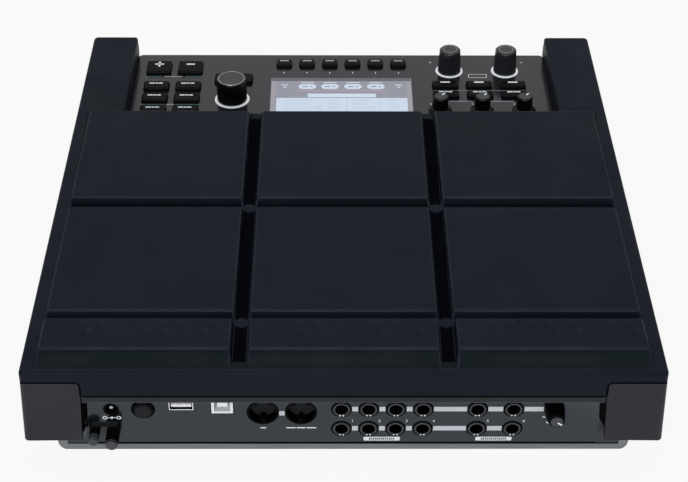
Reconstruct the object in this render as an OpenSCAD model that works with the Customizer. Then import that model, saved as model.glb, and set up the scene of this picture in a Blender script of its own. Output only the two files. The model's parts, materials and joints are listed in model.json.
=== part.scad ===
// Electronic percussion pad: rubber playing surface, control bay and socket panel.
// X runs across, Y runs from the socket side to the player's side, Z is up, floor at 0.

/* [Playing surface] */
// Width of a pad at its foot
pad_w = 105; // [101:1:125]
// Depth of a pad at its foot
pad_d = 104; // [90:1:125]
// Height of a pad above the border
pad_rise = 3; // [1:0.5:5]
// Depth of a shoulder bar at its foot
bar_d = 36.8; // [32:0.2:48]
// Height of a shoulder bar above the border
bar_rise = 6; // [3:0.5:9]
// Run of the long slope on the socket side of a bar
bar_slope = 10.2; // [4:0.2:13]
// Run of the slope on the socket side of a pad
pad_slope = 6; // [1:0.5:8]
// Run of the slope on the player's side of pads and bars
front_slope = 1.5; // [0.5:0.1:3]
// Run of the steep slope at the ends of pads and bars
side_slope = 0.8; // [0.3:0.1:2]
// Width of the light slots between the columns
slot_w = 7; // [6:0.5:10]
// Groove between the two rows of pads
row_gap = 3; // [3:0.5:8]
// Groove between the bars and the first row of pads
bar_gap = 2.8; // [2:0.1:6]
// Border beside the pads
border_w = 8; // [6.5:0.5:14]
// Border behind the bars
rear_border = 3.4; // [2:0.1:6]
// Diameter of the round bridges across the light slots
bridge_d = 8; // [6:0.5:8.5]
// Thickness of the rubber skin
skin_t = 3; // [2:0.5:4]
// Thickness of the cushion under a pad
cushion_t = 2.5; // [1:0.5:4]
// Thickness of the steel plate under a pad
plate_t = 1.5; // [0.8:0.1:2]
// Thickness of the pressure sensor under a pad
sensor_t = 1; // [0.4:0.1:1.5]
// Width left free round the layers under a pad
layer_margin = 8; // [7:0.5:10]
// Height that a light guide stands above the underside of the skin
guide_rise = 1.6; // [0.5:0.1:2.4]

/* [Case] */
// Height from the tray to the border
case_h = 49; // [47:0.5:58]
// Wall thickness of the plastic case
wall = 3; // [2:0.5:3.5]
// Thickness of the deck that carries the pads
deck_t = 3; // [2:0.5:4]
// Radius of the upright corners of the case
corner_r = 3; // [1:0.5:5]
// Outward slant of the side walls, measured at their lower edge
side_flare = 1.8; // [0.5:0.1:3]
// Width of the control bay
bay_w = 284; // [280:1:290]
// Depth of the control bay from the pads to the front
bay_d = 99; // [97:1:130]
// Drop from the border to the control panel
bay_drop = 14; // [11:0.5:16]
// Radius of the inner corners of the control bay
bay_r = 5; // [3:0.5:8]
// Height of the rubber apron at the sides
side_apron = 6.4; // [5:0.1:8]
// Height of the rubber apron at the socket side
rear_apron = 16; // [15:0.25:17]
// Radius of the upper inner corner of a corner block
block_r = 2.5; // [1:0.5:4]
// Seam between the rubber and the case
seam = 0.4; // [0.2:0.1:0.8]
// Width of the ledge that carries the control panel
ledge_w = 3.5; // [2.5:0.5:4]
// Thickness of the ledge and of the lower rim
ledge_t = 3; // [2:0.5:4]
// Diameter of a screw post
post_d = 8; // [6:0.5:9]

/* [Tray and feet] */
// Height of the tray
tray_h = 14; // [12.5:0.5:16]
// Thickness of the tray's sheet
tray_t = 1.6; // [1:0.1:2.5]
// Set-in of the tray from the sides and the front of the case
tray_inset = 15; // [13:0.1:18]
// Radius of the tray's lower edges
tray_edge = 6; // [3:0.5:6]
// Rounding along the tray's near and far edges
tray_rim = 0.8; // [0.8:0.1:3]
// How far the tray stands out in front of the socket panel
tray_step = 0.6; // [0.2:0.1:1]
// Height of a foot
foot_h = 3; // [3:0.5:8]
// Diameter of a foot
foot_d = 20; // [14:1:26]
// Set-in of a foot from the tray's walls
foot_inset = 34; // [28:1:40]
// Spacing of the stand inserts across
insert_x = 100; // [60:5:120]
// Spacing of the stand inserts front to back
insert_y = 75; // [60:5:100]
// Bore of a stand insert
insert_bore = 5; // [4:0.5:6]
// Outer diameter of a stand insert
insert_d = 8.4; // [8:0.2:10]
// Depth of the bore in a stand insert
insert_depth = 5; // [4:0.5:6]

/* [Socket panel] */
// Width of the socket bay between the corner blocks
rear_w = 281.6; // [280:0.2:286]
// Outward slant of the ends of the socket bay, measured at their lower edge
rear_flare = 1.6; // [0.5:0.1:2.5]
// Depth of the socket bay from the rear face
rear_recess = 8; // [6:0.5:10]
// Thickness of the socket panel
rear_t = 2; // [1.5:0.1:2.5]
// Height of the lip over the sockets
lip_h = 4.4; // [2:0.05:5]
// Gap between the apron and the lip
lip_gap = 1.1; // [0.6:0.05:2]
// Slant of the cheeks at the ends of the socket panel
cheek_run = 1.8; // [1.5:0.1:3]
// Drop from the border to the upper row of sockets
upper_drop = 33.2; // [32.5:0.1:34]
// Drop from the border to the lower row of sockets
lower_drop = 47.5; // [46.8:0.1:48.2]
// Depth of the socket bodies behind the panel
socket_len = 20; // [18:1:26]
// Spacing of the trigger jacks
jack_pitch = 14.85; // [13.5:0.01:15.1]
// Place of the first trigger jack across the panel
jack_x = -1.2; // [-2:0.1:2]
// Place of the output jacks across the panel
output_x = 73; // [71:0.1:74.5]
// Place of the headphone and input jacks across the panel
phones_x = 92.7; // [91:0.1:95]
// Bore of a jack
jack_bore = 6.5; // [6:0.1:7]
// Diameter of the nose of a jack
jack_nose = 11; // [10:0.1:11.6]
// Depth of the bore of a jack
jack_depth = 17; // [12:0.5:17]
// Place of the first round data socket across the panel
midi_x = -44.1; // [-45:0.1:-43.5]
// Spacing of the two round data sockets
midi_pitch = 20.8; // [20.2:0.05:21.5]
// Inner diameter of a round data socket
midi_bore = 15.2; // [14:0.1:15.6]
// Outer diameter of a round data socket
midi_nose = 17.2; // [16.6:0.1:18]
// Drop from the border to the round data sockets
midi_drop = 35.5; // [35.2:0.1:35.8]
// Drop from the border to the data ports
port_drop = 30.4; // [30.2:0.1:30.8]
// Place of the device port across the panel
usb_device_x = -66.1; // [-67:0.1:-65]
// Place of the host port across the panel
usb_host_x = -88.4; // [-89:0.1:-87]
// Place of the power button across the panel
power_x = -109.2; // [-110:0.1:-108]
// Diameter of the power button
power_d = 11.4; // [9:0.2:12]
// Travel of the power button
power_travel = 2.5; // [1:0.1:3]
// Place of the power inlet across the panel
dc_x = -126.6; // [-127:0.1:-126]
// Diameter of the nose of the power inlet
dc_nose = 8; // [7.6:0.1:8.6]
// Place of the gain knob across the panel
gain_x = 115; // [113:0.1:117]
// Diameter of the gain knob
gain_d = 11.2; // [10:0.2:13]
// Length of the gain knob
gain_len = 9.6; // [8:0.2:14]
// Reach of the cable hook beyond the rear face
hook_reach = 4.6; // [2:0.2:6]
// Spacing of the pegs of the cable hook
hook_pitch = 10.2; // [9.8:0.1:10.6]
// Place of the cable hook across the panel
hook_x = -131.4; // [-131.6:0.1:-130.6]
// Drop from the border to the cable hook
hook_drop = 48.5; // [47.5:0.1:49.5]

/* [Control panel] */
// Thickness of the control panel
control_t = 2.5; // [2:0.1:3]
// Clearance round buttons, knobs and seated pieces
fit = 0.3; // [0.2:0.05:0.4]
// Height of a button above the control panel
button_rise = 2.6; // [1.8:0.1:4]
// Travel of a panel button
button_travel = 1; // [0.4:0.1:1.2]
// Radius of the corners of a button
button_r = 1.6; // [0.5:0.1:2]
// Width of the plus and minus buttons
kit_w = 17; // [12:0.5:18]
// Depth of the plus and minus buttons
kit_d = 15.5; // [10:0.5:17]
// Width of a mode button
mode_w = 17.4; // [12:0.2:18]
// Depth of a mode button
mode_d = 10; // [7:0.5:11]
// Spacing of the mode buttons across
mode_pitch_x = 21.6; // [21:0.1:23]
// Spacing of the mode buttons front to back
mode_pitch_y = 15.2; // [14:0.2:16]
// Place of the left group from the wall of the bay
left_group = 26.7; // [26.2:0.1:27.5]
// Width of the exit button
exit_w = 26; // [18:0.5:27]
// Depth of the exit button
exit_d = 11.4; // [8:0.2:13]
// Place of the data knob from the left group
data_offset = 41.5; // [40:0.1:42]
// Width of a function button
function_w = 10.6; // [7:0.2:11.4]
// Depth of a function button
function_d = 8.6; // [6:0.2:9]
// Spacing of the function buttons
function_pitch = 15.85; // [14.6:0.05:16.5]
// Place of the right group from the wall of the bay
right_group = 47.9; // [46:0.1:49]
// Width of a select or effect button
select_w = 17.6; // [12:0.2:18.4]
// Depth of a select or effect button
select_d = 8; // [5:0.2:9]
// Spacing of the select and effect buttons across
select_pitch = 23.1; // [21.4:0.1:24]
// Spacing of the two rows of select and effect buttons
select_rows = 12.6; // [11.8:0.1:13.5]
// Spacing of the two control knobs
control_pitch = 38.5; // [36:0.5:42]
// Spacing of the three level knobs
level_pitch = 28; // [22:0.5:29]
// Diameter of the data knob
data_d = 20; // [14:0.5:21]
// Height of the data knob
data_h = 15.6; // [10:0.2:20]
// Diameter of the light ring of the data knob
data_ring = 23.5; // [22.5:0.1:25]
// Diameter of a control knob at its foot
knob_d = 15.8; // [13:0.2:17]
// Height of a control knob
knob_h = 16.6; // [10:0.2:22]
// Diameter of the light ring of a control knob
knob_ring = 18.9; // [18.5:0.1:21]
// Diameter of a level knob
level_d = 11; // [9:0.2:13]
// Diameter of the skirt of a level knob
level_skirt = 16; // [14:0.5:18]
// Height of a level knob
level_h = 11; // [8:0.5:16]
// Height of the light rings above the control panel
ring_rise = 0.4; // [0.2:0.1:2]
// Diameter of the knob shafts
shaft_d = 6; // [5:0.1:6.2]
// Running clearance of a shaft in its bushing, measured on the radius
run_fit = 0.05; // [0.02:0.01:0.09]
// Clearance of a shaft in its knob, measured on the radius
press_fit = 0.03; // [0.01:0.01:0.05]
// Width of the display window
window_w = 96; // [90:0.5:98]
// Depth of the display window
window_d = 54.4; // [48:0.2:55]
// Place of the display window from the front of the case
window_from_front = 59; // [58.5:0.1:59.5]

/* [Hidden] */
$fn = 96;
case_w = 3 * pad_w + 2 * slot_w + 2 * border_w;
half_w = case_w / 2;
col = pad_w + slot_w;
bar_y = rear_border;
row1_y = bar_y + bar_d + bar_gap;
row2_y = row1_y + pad_d + row_gap;
bay_y = row2_y + pad_d;
case_d = bay_y + bay_d;
mid_y = (case_d - hook_reach) / 2;

tray_z = foot_h;
floor_z = tray_z + tray_t;
case_z = tray_z + tray_h;
border_z = case_z + case_h;
skin_z = border_z - skin_t;
stack_t = cushion_t + plate_t + sensor_t;
deck_z = skin_z - stack_t;
apron_z = border_z - side_apron;
rear_apron_z = border_z - rear_apron;
bay_z = border_z - bay_drop;
bay_under = bay_z - control_t;
ledge_z = bay_under - ledge_t;

lip_z = rear_apron_z - lip_gap;
rail_z = lip_z + 0.2;
sill_h = 4.4;
sill_z = tray_z + sill_h;
sill_end = 5.5;
sill_half = half_w - tray_inset - sill_end;
upper_z = border_z - upper_drop;
lower_z = border_z - lower_drop;
panel_back = rear_recess + rear_t;
socket_board_y = panel_back + socket_len;
cheek_x = rear_w / 2 - seam;
flare_angle = atan(side_flare / (apron_z - seam - case_z));
cheek_angle = atan(rear_flare / (rail_z - case_z));
cheek_in = 0.1;
cheek_root_y = rear_recess + 0.6;
cheek_lean = (cheek_run - cheek_in) / (rear_recess - seam - cheek_in);
cheek_root_x = cheek_in + cheek_lean * (cheek_root_y - seam - cheek_in);

tray_half = half_w - tray_inset;
tray_near = rear_recess;
tray_far = case_d - tray_inset;
post_x = tray_half - 27.5;
bay_post_x = bay_w / 2 + 1;
bay_post_y = tray_far - 14;
post_ys = [tray_near + 52, row1_y + pad_d - 11, bay_y - 30];
pilot_d = 2.9;
pilot_h = 13;
screw_d = 2.8;
screw_hole = 3.4;
case_head_d = 6;
case_head_h = 1.8;
case_screw_len = 11;
board_head_d = 5;
board_head_h = 1.6;
board_screw_len = 7;
boss_d = 6;
root_h = 0.5;

standoff_h = 6.4;
standoff_d = 6;
main_z = floor_z + standoff_h;
main_w = 220;
main_y0 = row1_y + 15;
main_y1 = bay_y - 25;
board_t = 1.6;
standoff_x = main_w / 2 - standoff_d;
standoff_ys = [main_y0 + standoff_d, (main_y0 + main_y1) / 2, main_y1 - standoff_d];
chip_w = 20;
chip_h = 2;
chip_at = [
  for (at = [[-0.27, 0.22], [-0.09, 0.40], [0.14, 0.25], [0.32, 0.45]])
    [main_w * at[0], main_y0 + (main_y1 - main_y0) * at[1]]
];
ribbon_w = 36;
ribbon_t = 0.8;
ribbon_rise = 8;
ribbon_in = 6;
insert_mid_y = (main_y0 + main_y1) / 2;

board_drop = 11.5;
board_z = bay_under - board_drop;
board_top = board_z + board_t;
board_half = bay_w / 2 - 6;
board_y0 = bay_y + 6;
board_y1 = case_d - wall - ledge_w - 2;

flange_t = 1.4;
flange_w = 1;
button_slope = 1;
window_rim = 1.5;
window_rim_t = 1.2;
module_rim = 4.5;
module_t = 4.6;
flange_z = bay_under - 0.1 - flange_t;
switch_h = 4.4;
switch_w = 6;
sensor_w = 12;
sensor_h = 5;
switch_top = board_top + switch_h;
stem_d = 3.2;
stem_z = switch_top - 0.8;

// Share by which the control layout follows the width of the bay
layout_w = 284;
across = bay_w / layout_w;
window_span = window_w * across;
module_half = window_span / 2 + module_rim;

left_x = -bay_w / 2 + left_group * across;
right_x = bay_w / 2 - right_group * across;
data_x = left_x + data_offset * across;
mode_step = mode_pitch_x * across;
select_step = select_pitch * across;
kit_ys = case_d - 21;
mode_y = case_d - 45;
exit_y = case_d - 35.5;
data_y = case_d - 60;
function_y = case_d - 15;
knob_y = case_d - 23;
select_y = case_d - 43;
effect_y = select_y - select_rows;
level_y = case_d - 74;
window_y = case_d - window_from_front;

// Screw bosses of the control board: four in a row on each side, the outer left one between two buttons
boss_in = board_half - 4;
boss_near = board_y0 + 4;
boss_far = board_y1 - 4;
boss_mid = module_half + boss_d / 2 + 0.5;
boss_left = (mode_y + mode_d / 2 + kit_ys - kit_d / 2) / 2;
boss_at = [
  [-boss_in, boss_near],
  [-boss_mid, boss_near],
  [boss_mid, boss_near],
  [boss_in, boss_near],
  [-boss_in, boss_left],
  [-boss_mid, boss_far],
  [boss_mid, boss_far],
  [boss_in, boss_far]
];

kit_at = [[left_x - mode_step / 2, kit_ys], [left_x + mode_step / 2, kit_ys]];
mode_at = [
  for (row = [0:2])
    for (side = [-1, 1])
      [left_x + side * mode_step / 2, mode_y - row * mode_pitch_y]
];
exit_at = [data_x, exit_y];
function_at = [for (i = [0:5]) [(i - 2.5) * function_pitch * across, function_y]];
select_at = [for (i = [-1:1]) [right_x + i * select_step, select_y]];
effect_at = [for (i = [-1:1]) [right_x + i * select_step, effect_y]];
switch_at = concat(kit_at, mode_at, [exit_at], function_at, select_at, effect_at);
data_at = [data_x, data_y];
control_at = [for (side = [-1, 1]) [right_x + side * control_pitch * across / 2, knob_y]];
level_at = [for (i = [-1:1]) [right_x + i * level_pitch * across, level_y]];
rotary_at = concat([data_at], control_at, level_at);

// Share by which the socket layout follows the width of the socket bay
layout_rear_w = 281.6;
along = rear_w / layout_rear_w;
jack_xs = [
  for (x = [
    jack_x,
    jack_x + jack_pitch,
    jack_x + 2 * jack_pitch,
    jack_x + 3 * jack_pitch,
    output_x,
    phones_x
  ])
    x * along
];
midi_xs = [midi_x * along, (midi_x + midi_pitch) * along];
midi_half = midi_nose / 2 + 0.5;
host_x = usb_host_x * along;
device_x = usb_device_x * along;
switch_x = power_x * along;
inlet_x = dc_x * along;
volume_x = gain_x * along;
midi_z = border_z - midi_drop;
usb_z = border_z - port_drop;
hook_z = border_z - hook_drop;
hook_xs = [(hook_x - hook_pitch / 2) * along, (hook_x + hook_pitch / 2) * along];
hook_root = [5.9, 7.4];
hook_tips = [2.4 - hook_reach, -hook_reach];
hook_step = 0.4;
hook_web_t = 2;
hook_web_h = 6.6;
hook_web_r = 2.8;
hook_web_rise = 1;
hook_web_end = 0.7;
hook_ends = [hook_xs[0] - hook_root[0] / 2, hook_xs[1] + hook_root[1] / 2 + hook_web_end];

// Sizes of the sockets that their plugs fix
nose_out = 0.5;
nose_in = 1;
tongue_back = 0.8;
host_w = 13.4;
host_h = 6;
host_wall = 0.5;
host_tongue_w = 11;
host_tongue_t = 1.8;
host_tongue_z = -1.7;
device_w = 11.8;
device_h = 10.8;
device_bore_w = 8.6;
device_bore_h = 7.8;
device_depth = 9;
device_tongue_w = 5.6;
device_tongue_h = 3.2;
dc_bore = 6.2;
dc_depth = 10;
dc_pin = 2.1;
dc_pin_back = 1.5;
dc_body_w = 9.2;
dc_body_h = 11;
midi_depth = 6;
midi_circle = 7.5;
midi_pin = 1.6;
jack_body = 12;

// Round parts of the knobs
shaft_r = shaft_d / 2;
bushing_d = shaft_d + 2.4;
bushing_top = bay_under - 0.6;
ring_bore = bushing_d + 1.6;
ring_flange_t = 1;
ring_flange_w = 1.2;
knob_edge = 0.8;
skirt_h = 2.2;
data_base = bay_z + ring_rise + 0.4;
level_base = bay_z + 0.5;

// Sets the rear face so that the whole object is centred on the origin
module placed() {
  translate([0, -mid_y, 0])
    children();
}

// Box between two limits on each axis
module box(x0, x1, y0, y1, z0, z1) {
  translate([x0, y0, z0])
    cube([x1 - x0, y1 - y0, z1 - z0]);
}

// Rectangle with round corners, centred
module round_rect(w, d, r) {
  square([w - 2 * r, d], center = true);
  square([w, d - 2 * r], center = true);
  for (x = [-1, 1])
    for (y = [-1, 1])
      translate([x * (w / 2 - r), y * (d / 2 - r)])
        circle(r = r);
}

// Cylinder along Y between two limits
module rod_y(r, y0, y1) {
  translate([0, y0, 0])
    rotate([-90, 0, 0])
      cylinder(r = r, h = y1 - y0);
}

// Block with sloped sides and a short root, its foot centred in X and starting at Y 0
module sloped_block(w, d, h, run_x, run_near, run_far) {
  intersection() {
    translate([0, d, 0])
      rotate([90, 0, 0])
        linear_extrude(height = d)
          polygon([
            [-w / 2, -root_h],
            [w / 2, -root_h],
            [w / 2, 0],
            [w / 2 - run_x, h],
            [-w / 2 + run_x, h],
            [-w / 2, 0]
          ]);
    translate([-w / 2, 0, 0])
      rotate([90, 0, 90])
        linear_extrude(height = w)
          polygon([[0, -root_h], [d, -root_h], [d, 0], [d - run_far, h], [run_near, h], [0, 0]]);
  }
}

// Plan of the playing surface with the control bay cut out, drawn inwards by a set-in
module surface_plan(set_in) {
  difference() {
    translate([0, case_d / 2])
      round_rect(case_w - 2 * set_in, case_d - 2 * set_in, max(corner_r - set_in, 0.4));
    bay_plan(set_in);
  }
}

// Plan of the control bay, drawn outwards by a set-in
module bay_plan(set_in) {
  translate([0, bay_y - set_in + (bay_d + 60) / 2])
    round_rect(bay_w + 2 * set_in, bay_d + 60, bay_r + set_in);
}

// Rest of a square corner outside a round one, in the upright plane of the rear face
module corner_rest(x, z, r, y0, y1) {
  translate([0, y1, 0])
    rotate([90, 0, 0])
      linear_extrude(height = y1 - y0)
        difference() {
          translate([x, z - r])
            square([r, r]);
          translate([x + r, z - r])
            circle(r = r);
        }
}

// Light slot of one row, its middle at X 0
module slot_cut(w, y0, y1, z0, z1) {
  difference() {
    box(-w / 2, w / 2, y0, y1, z0, z1);
    for (y = [row1_y - bar_gap / 2, row2_y - row_gap / 2])
      translate([0, y, z0 - 1])
        cylinder(d = bridge_d, h = z1 - z0 + 2);
  }
}

// Limits of the three light slots of a column, from the socket side
slot_limits = [
  [bar_y + 5.6, row1_y - bar_gap / 2 - 1.2],
  [row1_y - bar_gap / 2 + 1.2, row2_y - row_gap / 2 - 1.2],
  [row2_y - row_gap / 2 + 1.2, bay_y - skin_t - wall - 0.4]
];

module pad_overlay() {
  color([0.14, 0.15, 0.17])
    difference() {
      union() {
        translate([0, 0, skin_z])
          linear_extrude(height = skin_t)
            surface_plan(0);
        translate([0, 0, apron_z])
          linear_extrude(height = skin_z - apron_z)
            difference() {
              surface_plan(0);
              surface_plan(skin_t);
            }
        box(-cheek_x, cheek_x, 0, skin_t, rear_apron_z, skin_z);
        for (side = [-1, 1])
          scale([side, 1, 1])
            corner_rest(cheek_x, apron_z, block_r + seam, 0, skin_t);
        intersection() {
          translate([0, 0, bay_z + 0.2])
            linear_extrude(height = skin_z - bay_z - 0.2)
              difference() {
                bay_plan(skin_t);
                bay_plan(0);
              }
          box(-half_w, half_w, 0, case_d - corner_r, 0, border_z);
        }
        for (i = [-1:1]) {
          translate([i * col, bar_y, border_z])
            sloped_block(pad_w - 1, bar_d, bar_rise, side_slope, bar_slope, front_slope);
          translate([i * col, row1_y, border_z])
            sloped_block(pad_w, pad_d, pad_rise, side_slope, pad_slope, front_slope);
          translate([i * col, row2_y, border_z])
            sloped_block(pad_w, pad_d, pad_rise, side_slope, pad_slope, front_slope);
        }
      }
      for (side = [-1, 1])
        for (s = slot_limits)
          translate([side * col / 2, 0, 0])
            slot_cut(slot_w - 0.4, s[0], s[1], skin_z - 1, border_z + bar_rise + 1);
    }
}

module light_guides() {
  color([0.10, 0.10, 0.11])
    for (side = [-1, 1])
      for (s = slot_limits)
        translate([side * col / 2, 0, 0])
          union() {
            box(-slot_w / 2 - 1, slot_w / 2 + 1, s[0] + 2.2, s[1] - 2.2, deck_z, skin_z - 0.2);
            difference() {
              box(
                -slot_w / 2 + 0.2 + fit, slot_w / 2 - 0.2 - fit,
                s[0] + fit, s[1] - fit,
                skin_z - 2, skin_z + guide_rise
              );
              for (y = [row1_y - bar_gap / 2, row2_y - row_gap / 2])
                translate([0, y, deck_z])
                  cylinder(d = bridge_d + 2 * fit, h = stack_t + skin_t + 2);
            }
          }
}

// Three layers of the same plan under every pad and bar
module pad_layers(z, t) {
  for (i = [-1:1]) {
    box(
      i * col - pad_w / 2 + layer_margin, i * col + pad_w / 2 - layer_margin,
      bar_y + bar_slope, bar_y + bar_d - 4, z, z + t
    );
    for (y = [row1_y, row2_y])
      box(
        i * col - pad_w / 2 + layer_margin, i * col + pad_w / 2 - layer_margin,
        y + layer_margin, y + pad_d - layer_margin, z, z + t
      );
  }
}

module pad_cushions() {
  color([0.25, 0.25, 0.26])
    pad_layers(deck_z, cushion_t);
}

module pad_plates() {
  color([0.72, 0.73, 0.74])
    pad_layers(deck_z + cushion_t, plate_t);
}

module pad_sensors() {
  color([0.55, 0.42, 0.20])
    pad_layers(deck_z + cushion_t + plate_t, sensor_t);
}

// Places of the case screws
module screw_places() {
  for (side = [-1, 1]) {
    for (y = post_ys)
      translate([side * post_x, y, 0])
        children();
    translate([side * bay_post_x, bay_post_y, 0])
      children();
  }
}

// Outer form of the case between two heights: sides that slant outwards towards the floor
module case_form(z0, z1) {
  in_x = corner_r / cos(flare_angle);
  intersection() {
    box(-2 * half_w, 2 * half_w, 0, case_d, z0, z1);
    union() {
      translate([0, case_d - corner_r, 0])
        rotate([90, 0, 0])
          linear_extrude(height = case_d - 2 * corner_r)
            slant_plan(half_w, z0, z1, side_flare);
      translate([0, case_d, 0])
        rotate([90, 0, 0])
          linear_extrude(height = case_d)
            slant_plan(half_w - in_x, z0, z1, side_flare);
      for (side = [-1, 1])
        for (y = [corner_r, case_d - corner_r])
          translate([side * (half_w - in_x), y, z1])
            rotate([0, -side * flare_angle, 0])
              translate([0, 0, -1.1 * (z1 - z0)])
                cylinder(r = corner_r, h = 1.2 * (z1 - z0));
    }
  }
}

// Upright section with slanted sides, its half width given at the top
module slant_plan(half, z0, z1, run) {
  polygon([[-half - run, z0], [half + run, z0], [half, z1], [-half, z1]]);
}

// Block between the slanted ends of the socket bay
module bay_end_form(half, y0, y1, z0, z1) {
  run = (z1 - z0) * tan(cheek_angle);
  translate([0, y1, 0])
    rotate([90, 0, 0])
      linear_extrude(height = y1 - y0)
        slant_plan(half, z0, z1, run);
}

module top_case() {
  color([0.21, 0.20, 0.22])
    difference() {
      union() {
        // Outer walls below the rubber
        difference() {
          case_form(case_z, apron_z - seam);
          box(-half_w + wall, half_w - wall, wall, case_d - wall, case_z - 1, border_z);
        }
        // Upstand that carries the edges of the rubber
        translate([0, 0, rail_z])
          linear_extrude(height = skin_z - rail_z)
            difference() {
              surface_plan(skin_t);
              surface_plan(skin_t + wall);
            }
        // Deck under the pads
        box(
          -half_w + skin_t, half_w - skin_t,
          skin_t + 0.5 * wall, bay_y - skin_t - 0.5 * wall,
          deck_z - deck_t, deck_z
        );
        // Tops of the two arms beside the bay
        for (side = [-1, 1])
          scale([side, 1, 1])
            box(
              bay_w / 2 + skin_t + 0.5 * wall, half_w - skin_t - 0.5 * wall,
              bay_y - skin_t - wall, case_d - skin_t - 0.5 * wall,
              skin_z - wall, skin_z
            );
        // Ledges that carry the control panel
        for (side = [-1, 1])
          scale([side, 1, 1]) {
            box(
              bay_w / 2 - ledge_w, bay_w / 2 + skin_t + wall,
              bay_y - skin_t - wall, case_d - 0.5 * wall, ledge_z, bay_under
            );
            box(
              bay_w / 2, bay_w / 2 + skin_t + 0.5 * wall,
              bay_y - skin_t - wall, case_d - 0.5 * wall, bay_under, bay_z
            );
          }
        box(
          -bay_w / 2, bay_w / 2, bay_y - skin_t - wall, bay_y + ledge_w,
          ledge_z, bay_under
        );
        box(-bay_w / 2, bay_w / 2, bay_y - skin_t - wall, bay_y, bay_under, bay_z);
        box(
          -bay_w / 2, bay_w / 2, case_d - wall - ledge_w, case_d - 0.5 * wall,
          ledge_z, bay_under
        );
        // Lower rim that sits on the tray
        difference() {
          box(
            -half_w + 0.5 * wall, half_w - 0.5 * wall,
            0.5 * wall, case_d - 0.5 * wall, case_z, case_z + ledge_t
          );
          box(
            -tray_half + 6, tray_half - 6,
            tray_near + 6, tray_far - 6, case_z - 1, case_z + ledge_t + 1
          );
        }
        // Inner walls of the corner blocks
        for (side = [-1, 1])
          scale([side, 1, 1])
            box(
              rear_w / 2, rear_w / 2 + rear_flare + wall,
              0.5 * wall, panel_back + 4, case_z, rail_z + wall
            );
        // Screw posts
        for (side = [-1, 1]) {
          for (y = post_ys)
            translate([side * post_x, y, floor_z])
              cylinder(d = post_d, h = deck_z - deck_t - floor_z + 0.5);
          translate([side * bay_post_x, bay_post_y, floor_z])
            cylinder(d = post_d, h = ledge_z - floor_z + 0.5);
        }
      }
      // Opening for the socket panel and the rear apron
      box(-rear_w / 2, rear_w / 2, -1, skin_t, rail_z - 1, border_z);
      bay_end_form(rear_w / 2, -1, panel_back + 5, case_z - 1, rail_z);
      for (side = [-1, 1])
        scale([side, 1, 1])
          corner_rest(rear_w / 2, apron_z - seam, block_r, -1, skin_t);
      // Front opening above the control panel
      box(-bay_w / 2, bay_w / 2, case_d - wall - 1, case_d + 1, bay_under, border_z);
      // Pilot bores
      screw_places()
        translate([0, 0, floor_z - 1])
          cylinder(d = pilot_d, h = pilot_h);
    }
}

// Points of a tray section: flat bottom, round lower edges and upright sides
function tray_section(a0, a1, z0, z1, r) = concat(
  [[a0, z1]],
  [for (t = [0:15:90]) [a0 + r - r * cos(t), z0 + r - r * sin(t)]],
  [for (t = [90:-15:0]) [a1 - r + r * cos(t), z0 + r - r * sin(t)]],
  [[a1, z1]]
);

// Solid with the outer form of the tray, drawn inwards by a set-in
module tray_form(set_in, z1) {
  side_r = max(tray_edge - set_in, 0.8);
  rim_r = max(tray_rim - set_in, 0.3);
  front = tray_near - tray_step;
  intersection() {
    translate([0, tray_far, 0])
      rotate([90, 0, 0])
        linear_extrude(height = tray_far - front)
          polygon(tray_section(-tray_half + set_in, tray_half - set_in, tray_z + set_in, z1, side_r));
    translate([-tray_half, 0, 0])
      rotate([90, 0, 90])
        linear_extrude(height = 2 * tray_half)
          polygon(tray_section(front + set_in, tray_far - set_in, tray_z + set_in, z1, rim_r));
  }
}

module bottom_tray() {
  color([0.52, 0.53, 0.54])
    difference() {
      tray_form(0, case_z);
      tray_form(tray_t, case_z + 1);
      box(
        -sill_half - 0.2, sill_half + 0.2,
        tray_near - tray_step - 1, tray_near + 5, sill_z, case_z + 1
      );
      screw_places()
        translate([0, 0, tray_z - 1])
          cylinder(d = screw_hole, h = tray_t + 2);
      insert_places()
        translate([0, 0, tray_z - 1])
          cylinder(d = insert_d + 0.1, h = tray_t + 2);
    }
}

// Places of the stand inserts
module insert_places() {
  for (x = [-1, 1])
    for (y = [-1, 1])
      translate([x * insert_x / 2, insert_mid_y + y * insert_y / 2, 0])
        children();
}

module mount_inserts() {
  color([0.74, 0.60, 0.30])
    insert_places()
      difference() {
        union() {
          translate([0, 0, tray_z])
            cylinder(d = insert_d, h = insert_depth + 1);
          translate([0, 0, floor_z])
            cylinder(d = insert_d + 3, h = 1);
        }
        translate([0, 0, tray_z - 1])
          cylinder(d = insert_bore, h = insert_depth + 1);
      }
}

module rubber_feet() {
  color([0.09, 0.09, 0.09])
    for (x = [-1, 1])
      for (y = [tray_near + foot_inset, tray_far - foot_inset])
        translate([x * (tray_half - foot_inset), y, 0])
          cylinder(d1 = foot_d - 2, d2 = foot_d, h = foot_h);
}

module case_screws() {
  color([0.30, 0.30, 0.31])
    screw_places()
      union() {
        translate([0, 0, tray_z - case_head_h])
          cylinder(d = case_head_d, h = case_head_h);
        translate([0, 0, tray_z - 0.5 * case_head_h])
          cylinder(d = screw_d, h = case_screw_len);
      }
}

module board_screws() {
  color([0.62, 0.62, 0.63])
    for (at = boss_at)
      translate([at[0], at[1], 0])
        union() {
          translate([0, 0, board_z - board_head_h])
            cylinder(d = board_head_d, h = board_head_h);
          translate([0, 0, board_z - 0.5 * board_head_h])
            cylinder(d = screw_d, h = board_screw_len);
        }
}

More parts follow.
